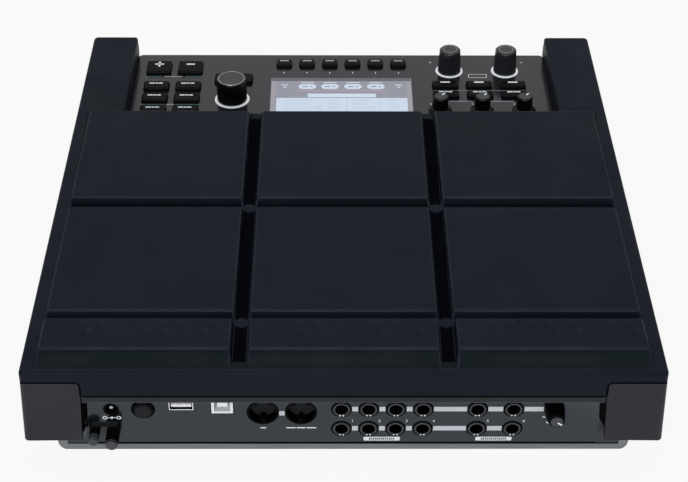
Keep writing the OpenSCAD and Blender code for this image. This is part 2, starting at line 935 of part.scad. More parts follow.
module rear_panel() {
  color([0.25, 0.27, 0.29])
    difference() {
      union() {
        bay_end_form(cheek_x, rear_recess, panel_back, case_z + 0.4, lip_z);
        box(-cheek_x, cheek_x, rear_recess, panel_back, sill_z, case_z + 1);
        box(-sill_half, sill_half, rear_recess, panel_back, sill_z, case_z - 0.2);
        box(-cheek_x, cheek_x, seam, rear_recess + 1, lip_z - lip_h, lip_z);
        for (side = [-1, 1])
          scale([side, 1, 1])
            intersection() {
              translate([cheek_x, 0, lip_z])
                rotate([0, -cheek_angle, 0])
                  translate([0, 0, case_z - lip_z - 2])
                    linear_extrude(height = lip_z - case_z + 2)
                      polygon([
                        [-cheek_in, seam + cheek_in],
                        [-cheek_in, cheek_root_y],
                        [-cheek_root_x, cheek_root_y]
                      ]);
              box(0, half_w, 0, panel_back, case_z + 0.7, lip_z - 0.2);
            }
      }
      for (x = jack_xs)
        for (z = [upper_z, lower_z])
          translate([x, 0, z])
            rod_y(jack_nose / 2 + fit, rear_recess - 1, panel_back + 1);
      for (x = midi_xs)
        translate([x, 0, midi_z])
          rod_y(midi_nose / 2 + fit, rear_recess - 1, panel_back + 1);
      translate([inlet_x, 0, upper_z])
        rod_y(dc_nose / 2 + fit, rear_recess - 1, panel_back + 1);
      translate([switch_x, 0, upper_z])
        rod_y(power_d / 2 + fit, rear_recess - 1, panel_back + 1);
      translate([volume_x, 0, upper_z])
        rod_y(bushing_d / 2 + fit, rear_recess - 1, panel_back + 1);
      box(
        host_x - host_w / 2 - fit, host_x + host_w / 2 + fit,
        rear_recess - 1, panel_back + 1, usb_z - host_h / 2 - fit, usb_z + host_h / 2 + fit
      );
      box(
        device_x - device_w / 2 - fit, device_x + device_w / 2 + fit,
        rear_recess - 1, panel_back + 1, usb_z - device_h / 2 - fit, usb_z + device_h / 2 + fit
      );
    }
}

module cable_hook() {
  color([0.17, 0.17, 0.18])
    translate([0, 0, hook_z])
      union() {
        for (i = [0, 1])
          translate([hook_xs[i], 0, 0]) {
            rod_y(hook_root[i] / 2, hook_tips[i] + 1, rear_recess);
            rod_y(hook_root[i] / 2 - hook_step, hook_tips[i], rear_recess);
          }
        translate([(hook_ends[0] + hook_ends[1]) / 2, rear_recess, hook_web_rise])
          rotate([90, 0, 0])
            linear_extrude(height = hook_web_t)
              round_rect(hook_ends[1] - hook_ends[0], hook_web_h, hook_web_r);
      }
}

module dc_socket() {
  color([0.06, 0.06, 0.06])
    translate([inlet_x, 0, upper_z])
      union() {
        difference() {
          union() {
            rod_y(dc_nose / 2, rear_recess, panel_back + 1);
            box(
              -dc_body_w / 2, dc_body_w / 2,
              panel_back, socket_board_y, -dc_body_h / 2, dc_body_h / 2
            );
          }
          rod_y(dc_bore / 2, rear_recess - 1, rear_recess + dc_depth);
        }
        rod_y(dc_pin / 2, rear_recess + dc_pin_back, rear_recess + dc_depth + 1);
      }
}

module usb_host_socket() {
  color([0.70, 0.70, 0.71])
    translate([host_x, 0, usb_z])
      union() {
        difference() {
          box(
            -host_w / 2, host_w / 2,
            rear_recess - nose_out, socket_board_y, -host_h / 2, host_h / 2
          );
          box(
            -host_w / 2 + host_wall, host_w / 2 - host_wall,
            rear_recess - 1, socket_board_y - 4,
            -host_h / 2 + host_wall, host_h / 2 - host_wall
          );
        }
        box(
          -host_tongue_w / 2, host_tongue_w / 2,
          rear_recess + tongue_back, socket_board_y - 3,
          host_tongue_z, host_tongue_z + host_tongue_t
        );
      }
}

module usb_device_socket() {
  color([0.72, 0.72, 0.72])
    translate([device_x, 0, usb_z])
      union() {
        difference() {
          box(
            -device_w / 2, device_w / 2,
            rear_recess - nose_out, socket_board_y, -device_h / 2, device_h / 2
          );
          box(
            -device_bore_w / 2, device_bore_w / 2,
            rear_recess - 1, rear_recess + device_depth,
            -device_bore_h / 2, device_bore_h / 2
          );
        }
        box(
          -device_tongue_w / 2, device_tongue_w / 2,
          rear_recess + tongue_back, rear_recess + device_depth + 1,
          -device_tongue_h / 2, device_tongue_h / 2
        );
      }
}

module midi_sockets() {
  color([0.07, 0.07, 0.07])
    for (x = midi_xs)
      translate([x, 0, midi_z])
        difference() {
          union() {
            rod_y(midi_nose / 2, rear_recess - 0.4, panel_back + 1);
            box(-midi_half, midi_half, panel_back, socket_board_y, -midi_half, midi_half);
          }
          rod_y(midi_bore / 2, rear_recess - 1, rear_recess + midi_depth);
          for (a = [0:45:180])
            translate([midi_circle / 2 * cos(a), 0, midi_circle / 2 * sin(a)])
              rod_y(midi_pin / 2, rear_recess + midi_depth - 1, rear_recess + 2 * midi_depth);
        }
}

module jack_sockets() {
  color([0.08, 0.08, 0.08])
    for (x = jack_xs)
      for (z = [upper_z, lower_z])
        translate([x, 0, z])
          difference() {
            union() {
              rod_y(jack_nose / 2, rear_recess - nose_out, panel_back + nose_in);
              box(
                -jack_body / 2, jack_body / 2,
                panel_back, socket_board_y, -jack_body / 2, jack_body / 2
              );
            }
            rod_y(jack_bore / 2, rear_recess - 1, rear_recess - nose_out + jack_depth);
          }
}

module socket_board() {
  color([0.10, 0.28, 0.17])
    box(
      inlet_x - 8, volume_x + 9, socket_board_y, socket_board_y + board_t,
      lower_z - 9, lip_z - lip_h - 0.1
    );
}

module power_switch() {
  color([0.13, 0.13, 0.14])
    translate([switch_x, 0, upper_z])
      difference() {
        box(-5, 5, panel_back + 5, socket_board_y, -5, 5);
        rod_y(2.3, panel_back + 4, socket_board_y - 3);
      }
}

module power_button() {
  color([0.16, 0.16, 0.17])
    translate([switch_x, 0, upper_z])
      union() {
        rod_y(power_d / 2, rear_recess - 1.2, panel_back + 1);
        rod_y(power_d / 2 + 1, panel_back + 0.2, panel_back + 1.5);
        rod_y(2, panel_back + 1, panel_back + 7);
      }
}

module gain_potentiometer() {
  color([0.35, 0.36, 0.37])
    translate([volume_x, 0, upper_z])
      difference() {
        union() {
          box(-5, 5, panel_back + 6, socket_board_y, -5, 5);
          rod_y(bushing_d / 2, rear_recess + 0.4, panel_back + 7);
        }
        rod_y(shaft_r + run_fit, rear_recess - 1, socket_board_y - 3);
      }
}

// Knob standing on Z 0: fluted body, chamfered top and a bore for the shaft
module knob_cap(d0, d1, h, flutes, flute_r, skirt) {
  difference() {
    union() {
      cylinder(d1 = d0, d2 = d1, h = h - knob_edge);
      translate([0, 0, h - knob_edge])
        cylinder(d1 = d1, d2 = d1 - 2 * knob_edge, h = knob_edge);
      if (skirt > 0)
        cylinder(d1 = skirt, d2 = d0, h = skirt_h);
    }
    for (i = [0:flutes - 1])
      rotate(360 / flutes * (i + 0.5))
        translate([d0 / 2 + 0.25 * flute_r, 0, 0])
          rotate([0, -atan((d0 - d1) / 2 / (h - knob_edge)), 0])
            translate([0, 0, skirt > 0 ? skirt_h + 0.4 : knob_edge])
              cylinder(r = flute_r, h = h - 3.8, $fn = 24);
    translate([0, 0, -1])
      cylinder(r = shaft_r + press_fit, h = h - 2);
  }
}

module gain_knob() {
  color([0.10, 0.10, 0.11])
    translate([volume_x, rear_recess - 0.6, upper_z])
      rotate([90, 0, 0])
        knob_cap(gain_d, gain_d - 2, gain_len, 18, 0.55, 0);
  color([0.66, 0.66, 0.67])
    translate([volume_x, 0, upper_z])
      rod_y(shaft_r, rear_recess - gain_len + 3, socket_board_y - 4);
}

module main_board() {
  color([0.10, 0.28, 0.17])
    box(-main_w / 2, main_w / 2, main_y0, main_y1, main_z, main_z + board_t);
  color([0.08, 0.08, 0.09])
    for (at = chip_at)
      translate([at[0] - chip_w / 2, at[1] - chip_w / 2, main_z + board_t])
        cube([chip_w, chip_w, chip_h]);
}

module board_standoffs() {
  color([0.72, 0.66, 0.42])
    for (side = [-1, 1])
      for (y = standoff_ys)
        translate([side * standoff_x, y, floor_z])
          cylinder(d = standoff_d, h = standoff_h);
}

module ribbon_cables() {
  t = ribbon_t;
  top_main = main_z + board_t;
  run_z = top_main + ribbon_rise;
  end_y = board_y0 + 2 * ribbon_in;
  color([0.55, 0.55, 0.57]) {
    translate([-ribbon_w / 2, 0, 0])
      rotate([90, 0, 90])
        linear_extrude(height = ribbon_w)
          polygon([
            [main_y1 - ribbon_in, top_main],
            [main_y1 - ribbon_in, run_z],
            [end_y, run_z],
            [end_y, board_z],
            [end_y + t, board_z],
            [end_y + t, run_z - t],
            [main_y1 - ribbon_in + t, run_z - t],
            [main_y1 - ribbon_in + t, top_main]
          ]);
    translate([-ribbon_w / 2, 0, 0])
      rotate([90, 0, 90])
        linear_extrude(height = ribbon_w)
          polygon([
            [main_y0 + ribbon_in, top_main],
            [main_y0 + ribbon_in, run_z],
            [socket_board_y + board_t, run_z],
            [socket_board_y + board_t, run_z + t],
            [main_y0 + ribbon_in + t, run_z + t],
            [main_y0 + ribbon_in + t, top_main]
          ]);
  }
}

module control_panel() {
  color([0.28, 0.27, 0.28])
    difference() {
      union() {
        box(
          -bay_w / 2 + fit, bay_w / 2 - fit, bay_y + fit, case_d - 0.5 * wall,
          bay_under, bay_z
        );
        for (at = boss_at)
          translate([at[0], at[1], board_top])
            cylinder(d = boss_d, h = bay_under - board_top + 0.5 * control_t);
      }
      for (at = kit_at)
        button_hole(at, kit_w, kit_d);
      for (at = mode_at)
        button_hole(at, mode_w, mode_d);
      button_hole(exit_at, exit_w, exit_d);
      for (at = function_at)
        button_hole(at, function_w, function_d);
      for (at = concat(select_at, effect_at))
        button_hole(at, select_w, select_d);
      translate([data_at[0], data_at[1], bay_under - 1])
        cylinder(d = data_ring + 0.2, h = control_t + 2);
      for (at = control_at)
        translate([at[0], at[1], bay_under - 1])
          cylinder(d = knob_ring + 0.2, h = control_t + 2);
      for (at = level_at)
        translate([at[0], at[1], bay_under - 1])
          cylinder(d = bushing_d + 2 * fit, h = control_t + 2);
      translate([0, window_y, bay_under - 1])
        linear_extrude(height = control_t + 2)
          square([window_span + 0.2, window_d + 0.2], center = true);
      for (at = boss_at)
        translate([at[0], at[1], board_top - 1])
          cylinder(d = pilot_d, h = board_screw_len);
    }
}

module button_hole(at, w, d) {
  translate([at[0], at[1], bay_under - 1])
    linear_extrude(height = control_t + 2)
      round_rect(w * across + 2 * fit, d + 2 * fit, button_r + fit);
}

// Push button at a place: cap with sloped top edges, flange and stem
module button(at, w, d) {
  span = w * across;
  shoulder_z = bay_z + button_rise - button_slope;
  translate([at[0], at[1], 0])
    union() {
      intersection() {
        translate([0, 0, flange_z + 0.5 * flange_t])
          linear_extrude(height = bay_z + button_rise - flange_z - 0.5 * flange_t)
            round_rect(span, d, button_r);
        union() {
          box(-span, span, -d, d, flange_z, shoulder_z);
          translate([0, -d / 2, shoulder_z])
            sloped_block(span, d, button_slope, 0.9 * button_slope, 0.9 * button_slope, 0.9 * button_slope);
        }
      }
      translate([0, 0, flange_z])
        linear_extrude(height = flange_t)
          round_rect(span + 2 * flange_w, d + 2 * flange_w, button_r + flange_w);
      translate([0, 0, stem_z])
        cylinder(d = stem_d, h = flange_z - stem_z + 0.5 * flange_t);
    }
}

module kit_button(i) {
  color([0.24, 0.23, 0.25])
    button(kit_at[i], kit_w, kit_d);
}

module mode_button(i) {
  color([0.24, 0.23, 0.25])
    button(mode_at[i], mode_w, mode_d);
}

module exit_button() {
  color([0.24, 0.23, 0.25])
    button(exit_at, exit_w, exit_d);
}

module function_button(i) {
  color([0.24, 0.23, 0.25])
    button(function_at[i], function_w, function_d);
}

module select_button(i) {
  color([0.24, 0.23, 0.25])
    button(select_at[i], select_w, select_d);
}

module effect_button(i) {
  color([0.24, 0.23, 0.25])
    button(effect_at[i], select_w, select_d);
}

module display_window() {
  color([0.30, 0.32, 0.34])
    translate([0, window_y, 0])
      union() {
        translate([0, 0, bay_under - window_rim_t])
          linear_extrude(height = window_rim_t)
            square([window_span + 2 * window_rim, window_d + 2 * window_rim], center = true);
        translate([0, 0, bay_under - 0.5 * window_rim_t])
          linear_extrude(height = control_t + 0.5 * window_rim_t - 0.2)
            square([window_span, window_d], center = true);
      }
}

module display_module() {
  color([0.45, 0.46, 0.47])
    translate([0, window_y, bay_under - window_rim_t - module_t])
      linear_extrude(height = module_t)
        square([2 * module_half, window_d + 2 * module_rim], center = true);
}

module control_board() {
  color([0.10, 0.28, 0.17])
    difference() {
      box(-board_half, board_half, board_y0, board_y1, board_z, board_top);
      for (at = boss_at)
        translate([at[0], at[1], board_z - 1])
          cylinder(d = screw_hole, h = board_t + 2);
    }
}

module tact_switches() {
  color([0.15, 0.15, 0.16])
    for (at = switch_at)
      translate([at[0], at[1], board_top])
        difference() {
          translate([-switch_w / 2, -switch_w / 2, 0])
            cube([switch_w, switch_w, switch_h]);
          translate([0, 0, switch_h - 2.6])
            cylinder(d = stem_d + 0.5, h = 4);
        }
}

module rotary_sensors() {
  color([0.40, 0.41, 0.42])
    for (at = rotary_at)
      translate([at[0], at[1], 0])
        difference() {
          union() {
            translate([-sensor_w / 2, -sensor_w / 2, board_top])
              cube([sensor_w, sensor_w, sensor_h]);
            translate([0, 0, board_top + sensor_h - 1])
              cylinder(d = bushing_d, h = bushing_top - board_top - sensor_h + 1);
          }
          translate([0, 0, board_top + 1])
            cylinder(r = shaft_r + run_fit, h = bushing_top - board_top);
        }
}

// White ring with a flange under the control panel
module light_ring(d) {
  difference() {
    union() {
      translate([0, 0, bay_under - ring_flange_t])
        cylinder(d = d, h = control_t + ring_flange_t + ring_rise);
      translate([0, 0, bay_under - ring_flange_t])
        cylinder(d = d + 2 * ring_flange_w, h = ring_flange_t);
    }
    translate([0, 0, bay_under - 2 * ring_flange_t])
      cylinder(d = ring_bore, h = control_t + 4 * ring_flange_t + ring_rise);
  }
}

module light_rings() {
  color([0.93, 0.93, 0.93]) {
    translate([data_at[0], data_at[1], 0])
      light_ring(data_ring);
    for (at = control_at)
      translate([at[0], at[1], 0])
        light_ring(knob_ring);
  }
}

// Shaft of a panel knob from inside its bushing to inside its cap
module knob_shaft(base, h) {
  color([0.66, 0.66, 0.67])
    translate([0, 0, board_top + 1.6])
      cylinder(r = shaft_r, h = base + h - 4 - board_top - 1.6);
}

module data_knob() {
  translate([data_at[0], data_at[1], 0]) {
    color([0.11, 0.11, 0.12])
      translate([0, 0, data_base])
        knob_cap(data_d, data_d, data_h, 40, 0.6, 0);
    knob_shaft(data_base, data_h);
  }
}

module control_knob(i) {
  translate([control_at[i][0], control_at[i][1], 0]) {
    color([0.11, 0.11, 0.12])
      translate([0, 0, data_base])
        knob_cap(knob_d, knob_d - 1.4, knob_h, 32, 0.55, 0);
    knob_shaft(data_base, knob_h);
  }
}

module level_knob(i) {
  translate([level_at[i][0], level_at[i][1], 0]) {
    color([0.11, 0.11, 0.12])
      translate([0, 0, level_base])
        knob_cap(level_d, level_d - 0.8, level_h, 18, 0.6, level_skirt);
    knob_shaft(level_base, level_h);
  }
}

placed() pad_overlay();
placed() light_guides();
placed() pad_sensors();
placed() pad_plates();
placed() pad_cushions();
placed() top_case();
placed() bottom_tray();
placed() rubber_feet();
placed() mount_inserts();
placed() case_screws();
placed() board_screws();
placed() rear_panel();
placed() cable_hook();
placed() dc_socket();
placed() usb_host_socket();
placed() usb_device_socket();
placed() midi_sockets();
placed() jack_sockets();
placed() socket_board();
placed() power_switch();
placed() power_button();
placed() gain_potentiometer();
placed() gain_knob();
placed() main_board();
placed() board_standoffs();
placed() ribbon_cables();
placed() control_panel();
placed() display_window();
placed() display_module();
placed() control_board();
placed() tact_switches();
placed() rotary_sensors();
placed() light_rings();
placed() kit_button(0);  // kit_plus_button
placed() kit_button(1);  // kit_minus_button
for (i = [0:5])
  placed() mode_button(i);
placed() exit_button();
for (i = [0:5])
  placed() function_button(i);
for (i = [0:2])
  placed() select_button(i);
for (i = [0:2])
  placed() effect_button(i);
placed() data_knob();
for (i = [0:1])
  placed() control_knob(i);
for (i = [0:2])
  placed() level_knob(i);
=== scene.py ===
"""Looks of a table-top electronic percussion pad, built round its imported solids."""

import json
import math

import bmesh
import bpy
from mathutils import Matrix, Vector


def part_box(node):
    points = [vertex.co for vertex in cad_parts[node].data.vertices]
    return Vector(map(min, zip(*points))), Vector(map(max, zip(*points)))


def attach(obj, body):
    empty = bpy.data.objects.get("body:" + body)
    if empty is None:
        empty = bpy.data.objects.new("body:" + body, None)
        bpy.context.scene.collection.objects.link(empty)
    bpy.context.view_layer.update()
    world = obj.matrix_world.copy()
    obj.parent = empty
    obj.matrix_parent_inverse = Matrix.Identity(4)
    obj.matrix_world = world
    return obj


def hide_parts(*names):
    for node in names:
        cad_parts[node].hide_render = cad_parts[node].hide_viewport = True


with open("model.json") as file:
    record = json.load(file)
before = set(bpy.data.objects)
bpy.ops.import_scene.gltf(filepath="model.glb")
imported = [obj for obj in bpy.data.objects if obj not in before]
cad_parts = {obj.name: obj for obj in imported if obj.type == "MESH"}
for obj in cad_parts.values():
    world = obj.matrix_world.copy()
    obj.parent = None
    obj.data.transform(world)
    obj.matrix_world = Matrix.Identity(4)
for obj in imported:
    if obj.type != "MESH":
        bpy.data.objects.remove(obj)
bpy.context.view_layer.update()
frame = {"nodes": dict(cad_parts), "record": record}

bl_info = {
    "name": "Percussion pad looks",
    "version": (1, 0, 0),
    "blender": (4, 5, 0),
    "location": "View3D > Sidebar > Percussion pad",
    "description": "Dresses the solids of an electronic percussion pad with finishes, prints and soft edges",
    "category": "Object",
}

# Shapes are made in millimetres. Settings, shading and the stage use metres.
MM = 0.001
METRES, MILLIMETRES = Matrix.Scale(MM, 4), Matrix.Scale(1 / MM, 4)
BODY = "body"
NODES = frame["nodes"]
MOUNTS = {m["name"]: Vector(m["pos_m"]) / MM for m in frame["record"]["mounts"]}


def box(node):
    """Lowest and highest corner of a node."""
    low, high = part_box(node)
    return low / MM, high / MM


def middle(node):
    """Middle of a node's box."""
    low, high = box(node)
    return (low + high) / 2


def numbered(stem, count):
    """Names of a row of like pieces."""
    return [f"{stem}_{i}" for i in range(1, count + 1)]


# Heights and faces that the prints lie on
SKIN_LOW, SKIN_HIGH = box("pad_overlay")
PANEL_HIGH = box("control_panel")[1]
FACE_Y = box("dc_socket")[0].y
# Line that the depths of the marks in the bay are measured from
BAY_LINE = PANEL_HIGH.y - 181

BUTTONS = [n for n in NODES if "button" in n and n != "power_button"]
CONTROL_KNOBS = numbered("control_knob", 2)
LEVEL_KNOBS = numbered("level_knob", 3)
UPPER_JACKS = numbered("jack_upper", 6)
LOWER_JACKS = numbered("jack_lower", 6)

# Least angles, in degrees, of the edges that are rounded
SHALLOW, STEEP = 14, 40
SMOOTH_BELOW = math.radians(38)
QUARTER = math.radians(90)

# Painted shade lines in the seams beside the corner blocks: distance from the middle, round corner and
# thickness
SEAM_X, SEAM_BEND, SEAM_T = 140.6, 2.7, 0.08
# Socket panel's cheeks: least distance from the middle, and height that their painted shade starts at
CHEEK_X, CHEEK_Z = 138, 27
LIP_TALL = 4.7
# Width of the painted shade lines under the rubber and at the panel's foot
SHADE_LINE_WIDE = 2 * 139.4

# Finish, and width, depth, offset across and offset along of each bar on a kind of button
WORD_BARS = ((3.6, 1.2, -3.0, 1.4), (1.7, 1.2, 0.1, 1.4), (2.8, 1.2, 2.8, 1.4))
SIGNS = {
    "kit_plus_button": ("White print", ((6.2, 1.5, 0, 2.4), (1.5, 6.4, 0, 2.4))),
    "kit_minus_button": ("White print", ((5.8, 1.5, 0, 2.4),)),
    "function_button": ("Grey print", ((6.1, 1.5, 0, 1.3),)),
    "select_button": ("Lit mark", ((6.6, 1.5, 0, 1.2),)),
    "effect_button": ("White print", WORD_BARS),
    "mode_button": ("White print", WORD_BARS),
    "exit_button": ("White print", ((7.0, 0.8, 0, 1.4),)),
}

# Display: middles of the icons, lines of the list, and for each row of the list its place and the
# length and middle of its first and third word
ICONS = (-23.2, -7.8, 8.0, 23.6)
LIST_WIDE, LIST_DEEP, LIST_X, LIST_Y = 88.6, 26.5, 0.3, 111.4
LIST_LINES = (119.4, 114.6, 109.8, 105.0, 100.2)
LIST_COLUMNS = (-14.5, 3.5, 26.0)
LIST_ROWS = (
    (121.9, (22, -28), (14, 14)),
    (117.0, (18, -30), (11, 12.5)),
    (112.2, (25, -26.5), (16, 15)),
    (107.4, (20, -29), (12, 13)),
    (102.6, (23, -27.5), (15, 14.5)),
)

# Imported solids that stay, by their finish
INNER = {
    "Board": ("socket_board", "main_board", "control_board"),
    "Component": (
        "power_switch", "gain_potentiometer", "rotary_sensors", "display_module", "tact_switches",
    ),
    "Steel": ("pad_plates", "case_screws", "board_screws"),
    "Sensor film": ("pad_sensors",),
    "Brass": ("mount_inserts", "board_standoffs"),
    "Ribbon": ("ribbon_cables",),
}

# Stage: lamps with their place, aim, size and power, and the camera's place, turns and lens
LAMPS = (
    ("over", (0.0, 0.2, 2.2), (0.0, 0.0, 0.0), (1.4, 1.4), 18.0),
    ("back", (0.0, 2.4, 1.7), (0.0, 0.0, 0.1), (4.5, 3.0), 21.0),
    ("front", (-0.4, -2.2, 1.2), (0.0, -0.1, 0.0), (1.6, 1.6), 34.0),
)
WORLD_LIGHT = (0.25, 0.25, 0.255, 1.0)
FLOOR_SIZE = 6.0
FLOOR_GLOW = 0.95
CAMERA_PLACE = (-0.00694, -0.82248, 0.64463)
CAMERA_YAW, CAMERA_DOWN, CAMERA_ROLL = -0.565, 37.129, 0.378
CAMERA_LENS, CAMERA_SENSOR = 85.785, 36.0


def tint(red, green, blue):
    """Linear colour of three eight-bit display values."""

    def linear(value):
        part = value / 255
        return part / 12.92 if part <= 0.04045 else ((part + 0.055) / 1.055) ** 2.4

    return (linear(red), linear(green), linear(blue))


def size(name):
    """One of the sizes that a user can change."""
    return getattr(bpy.context.scene.pad_sizes, name) / MM


def shade(value):
    """Colour, or one of the colours that a user can change by its name."""
    return tuple(getattr(bpy.context.scene.pad_colours, value)) if isinstance(value, str) else value


def length(name, description, millimetres):
    """Length property with a default in millimetres."""
    return bpy.props.FloatProperty(
        name=name, description=description, default=millimetres * MM, min=0.0, precision=5, unit="LENGTH"
    )


def colour(name, description, value):
    """Colour property with a linear default."""
    return bpy.props.FloatVectorProperty(
        name=name, description=description, default=value, size=3, min=0.0, max=1.0, subtype="COLOR"
    )


class PadSizes(bpy.types.PropertyGroup):
    """Sizes of the soft edges, prints and small trim."""

    bar_rise: length("Bar rise", "Height of the shoulder bars above the border", 6.0)
    skin_edge: length("Rubber edge", "Rounding of the rubber skin's edges", 1.1)
    skin_rim: length("Rubber rim", "Rounding of the rubber skin's outer edges", 2.0)
    block_edge: length("Corner block edge", "Rounding of the corner blocks", 0.6)
    panel_edge: length("Panel edge", "Rounding of the panels' edges", 0.35)
    panel_corner: length("Panel corner", "Rounding of the control panel's far corners", 3.0)
    button_edge: length("Button edge", "Rounding of the button caps", 0.45)
    # Width of the painted shade lines in the seams beside the corner blocks
    seal_width: length("Seal width", "Width of the painted shade lines in the seams", 1.15)
    print_height: length("Print height", "Thickness of the printed marks", 0.06)
    jack_nose: length("Jack nose", "Diameter of the jacks' noses", 11.0)
    jack_bore: length("Jack bore", "Diameter of the jacks' bores", 6.5)
    strip_width: length("Strip width", "Width of the strips between the jacks", 3.3)
    figure_size: length("Figure size", "Height of the printed numbers", 2.6)
    dimple_pitch: length("Dash pitch", "Spacing of the dashes on the bars", 10.6)


class PadColours(bpy.types.PropertyGroup):
    """Colours of the finishes, as linear values."""

    rubber: colour("Rubber", "Playing surface", (0.0048, 0.0078, 0.0145))
    block: colour("Corner blocks", "Upper half of the case", tint(40, 39, 46))
    tray: colour("Tray", "Sheet metal tray", tint(118, 121, 124))
    socket_panel: colour("Socket panel", "Panel that carries the sockets", (0.0034, 0.0039, 0.0050))
    control_panel: colour("Control panel", "Panel that carries the buttons and knobs", tint(30, 27, 32))
    button: colour("Buttons", "Caps of the buttons", (0.0036, 0.0037, 0.0043))
    knob: colour("Knobs", "Sides of the knobs", (0.0022, 0.0022, 0.0026))
    knob_top: colour("Knob tops", "Inlays on top of the knobs", tint(56, 57, 59))
    white_print: colour("White print", "Printed numbers and signs", tint(226, 232, 236))
    grey_print: colour("Grey print", "Printed words", tint(150, 156, 162))
    teal_print: colour("Teal print", "Printed group lines", tint(84, 128, 132))
    blue_print: colour("Pale blue print", "Printed frame round the effect buttons", tint(132, 146, 160))
    screen: colour("Screen", "Lit background of the display", tint(146, 149, 162))
    screen_light: colour("Screen light", "Lit boxes on the display", tint(204, 217, 234))
    floor: colour("Floor", "Pale floor", (0.957, 0.957, 0.957))


# Mesh helpers


def solid_copy(node):
    """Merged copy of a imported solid, its flat faces joined."""
    shape = bmesh.new()
    shape.from_mesh(NODES[node].data)
    bmesh.ops.remove_doubles(shape, verts=shape.verts, dist=0.002 * MM)
    flat = math.radians(0.4)
    bmesh.ops.dissolve_limit(shape, angle_limit=flat, verts=shape.verts, edges=shape.edges)
    shape.transform(MILLIMETRES)
    return shape


def soften(shape, edges, width, segments=3):
    """Rounds edges to a width, in metres as the bevel's tolerances are, and gives the new faces."""
    shape.transform(METRES)
    made = bmesh.ops.bevel(
        shape, geom=list(edges), offset=width * MM, offset_type="OFFSET", segments=segments,
        profile=0.5, affect="EDGES", clamp_overlap=False, material=-1,
    )
    shape.transform(MILLIMETRES)
    return made["faces"]


def upright_edges(shape, least):
    """Edges that rise more than a least height."""
    return [e for e in shape.edges if abs(e.verts[0].co.z - e.verts[1].co.z) > least]


def soften_outer(shape, test, least, width, segments=3):
    """Rounds the edges that stand outwards more than a least angle, and whose two ends pass a test."""
    edges = [
        e for e in shape.edges
        if len(e.link_faces) == 2 and e.is_convex
        and e.calc_face_angle(0.0) > math.radians(least)
        and test(e.verts[0].co, e.verts[1].co)
    ]
    return soften(shape, edges, width, segments)


def shift(x, y, z=0.0):
    """Place moved from the origin."""
    return Matrix.Translation((x, y, z))


def spun(turn):
    """Place turned about its local Z axis."""
    return Matrix.Rotation(turn, 4, "Z")


def plate(width, depth, height, corner, place, soft=0.0):
    """Slab on its local XY plane with round corners and, if wanted, a soft upper edge."""
    shape = bmesh.new()
    block = shift(0, 0, height / 2) @ Matrix.Diagonal((width, depth, height, 1))
    bmesh.ops.create_cube(shape, size=1.0, matrix=block)
    if corner > 0:
        soften(shape, upright_edges(shape, height / 2), corner, 4)
    if soft > 0:
        soften_outer(shape, lambda a, b: min(a.z, b.z) > height * 0.99, 24, soft, 2)
    shape.transform(place)
    return shape


def bar(width, depth, place, height=None):
    """Thin printed bar."""
    return plate(width, depth, height or size("print_height"), 0.0, place)


def frame_line(width, depth, line, place):
    """Thin printed outline of a box, as four bars."""
    side, end = (width - line) / 2, (depth - line) / 2
    bars = [(width, line, 0.0, y) for y in (end, -end)]
    bars += [(line, depth - 2 * line, x, 0.0) for x in (side, -side)]
    return [bar(w, d, place @ shift(x, y)) for w, d, x, y in bars]


def outlined(outline, closed):
    """Shape that holds only the edges of an outline of radius and height, with its parts."""
    shape = bmesh.new()
    verts = [shape.verts.new((r, 0, h)) for r, h in outline]
    ends = verts[1:] + verts[:1] if closed else verts[1:]
    return shape, verts + [shape.edges.new(pair) for pair in zip(verts, ends)]


def spin(shape, geom, angle, steps, merge=False):
    """Sweeps an outline about the local Z axis."""
    bmesh.ops.spin(
        shape, geom=geom, cent=(0, 0, 0), axis=(0, 0, 1), angle=angle, steps=steps, use_merge=merge
    )


def lathe(outline, place, steps=48, closed=False):
    """Turned form from an outline of radius and height, about the local Z axis."""
    shape, geom = outlined(outline, closed)
    spin(shape, geom, 2 * math.pi, steps, True)
    bmesh.ops.remove_doubles(shape, verts=shape.verts, dist=0.0005)
    bmesh.ops.recalc_face_normals(shape, faces=shape.faces)
    shape.transform(place)
    return shape


def ring(outer, inner, height, place, steps=48):
    """Flat ring on its local XY plane."""
    return lathe([(inner, 0), (outer, 0), (outer, height), (inner, height)], place, steps, True)


def disc(radius, height, place, steps=32):
    """Flat disc on its local XY plane."""
    return lathe([(0, 0), (radius, 0), (radius, height), (0, height)], place, steps)


def bend(radius, width, height, turn, place):
    """Part of a flat ring on its local XY plane, from the local X axis through a turn."""
    near, far = radius - width / 2, radius + width / 2
    shape, geom = outlined(((near, 0), (far, 0), (far, height), (near, height)), True)
    spin(shape, geom, turn, 8)
    bmesh.ops.holes_fill(shape, edges=[e for e in shape.edges if e.is_boundary], sides=4)
    bmesh.ops.recalc_face_normals(shape, faces=shape.faces)
    shape.transform(place)
    return shape


def figures(text, tall, height, place):
    """Printed figures, centred on the local origin."""
    curve = bpy.data.curves.new("figures", "FONT")
    curve.body = text
    curve.size = tall
    curve.align_x = curve.align_y = "CENTER"
    curve.extrude = height / 2
    holder = bpy.data.objects.new("figures", curve)
    bpy.context.scene.collection.objects.link(holder)
    graph = bpy.context.evaluated_depsgraph_get()
    mesh = bpy.data.meshes.new_from_object(holder.evaluated_get(graph))
    shape = bmesh.new()
    shape.from_mesh(mesh)
    bmesh.ops.remove_doubles(shape, verts=shape.verts, dist=0.001)
    shape.transform(place @ shift(0, 0, height / 2))
    bpy.data.objects.remove(holder)
    bpy.data.curves.remove(curve)
    bpy.data.meshes.remove(mesh)
    return shape


def marked(shape, number, test=None):
    """Gives a shape, or those of its faces whose middles pass a test, another of its finishes."""
    for face in shape.faces:
        if test is None or test(face.calc_center_median()):
            face.material_index = number
    return shape


def cut_across(shape, faces, point, normal):
    """Splits some faces of a shape where a plane crosses them."""
    geom = set(faces)
    for face in faces:
        geom.update(face.edges)
        geom.update(face.verts)
    bmesh.ops.bisect_plane(shape, geom=list(geom), plane_co=point, plane_no=normal)


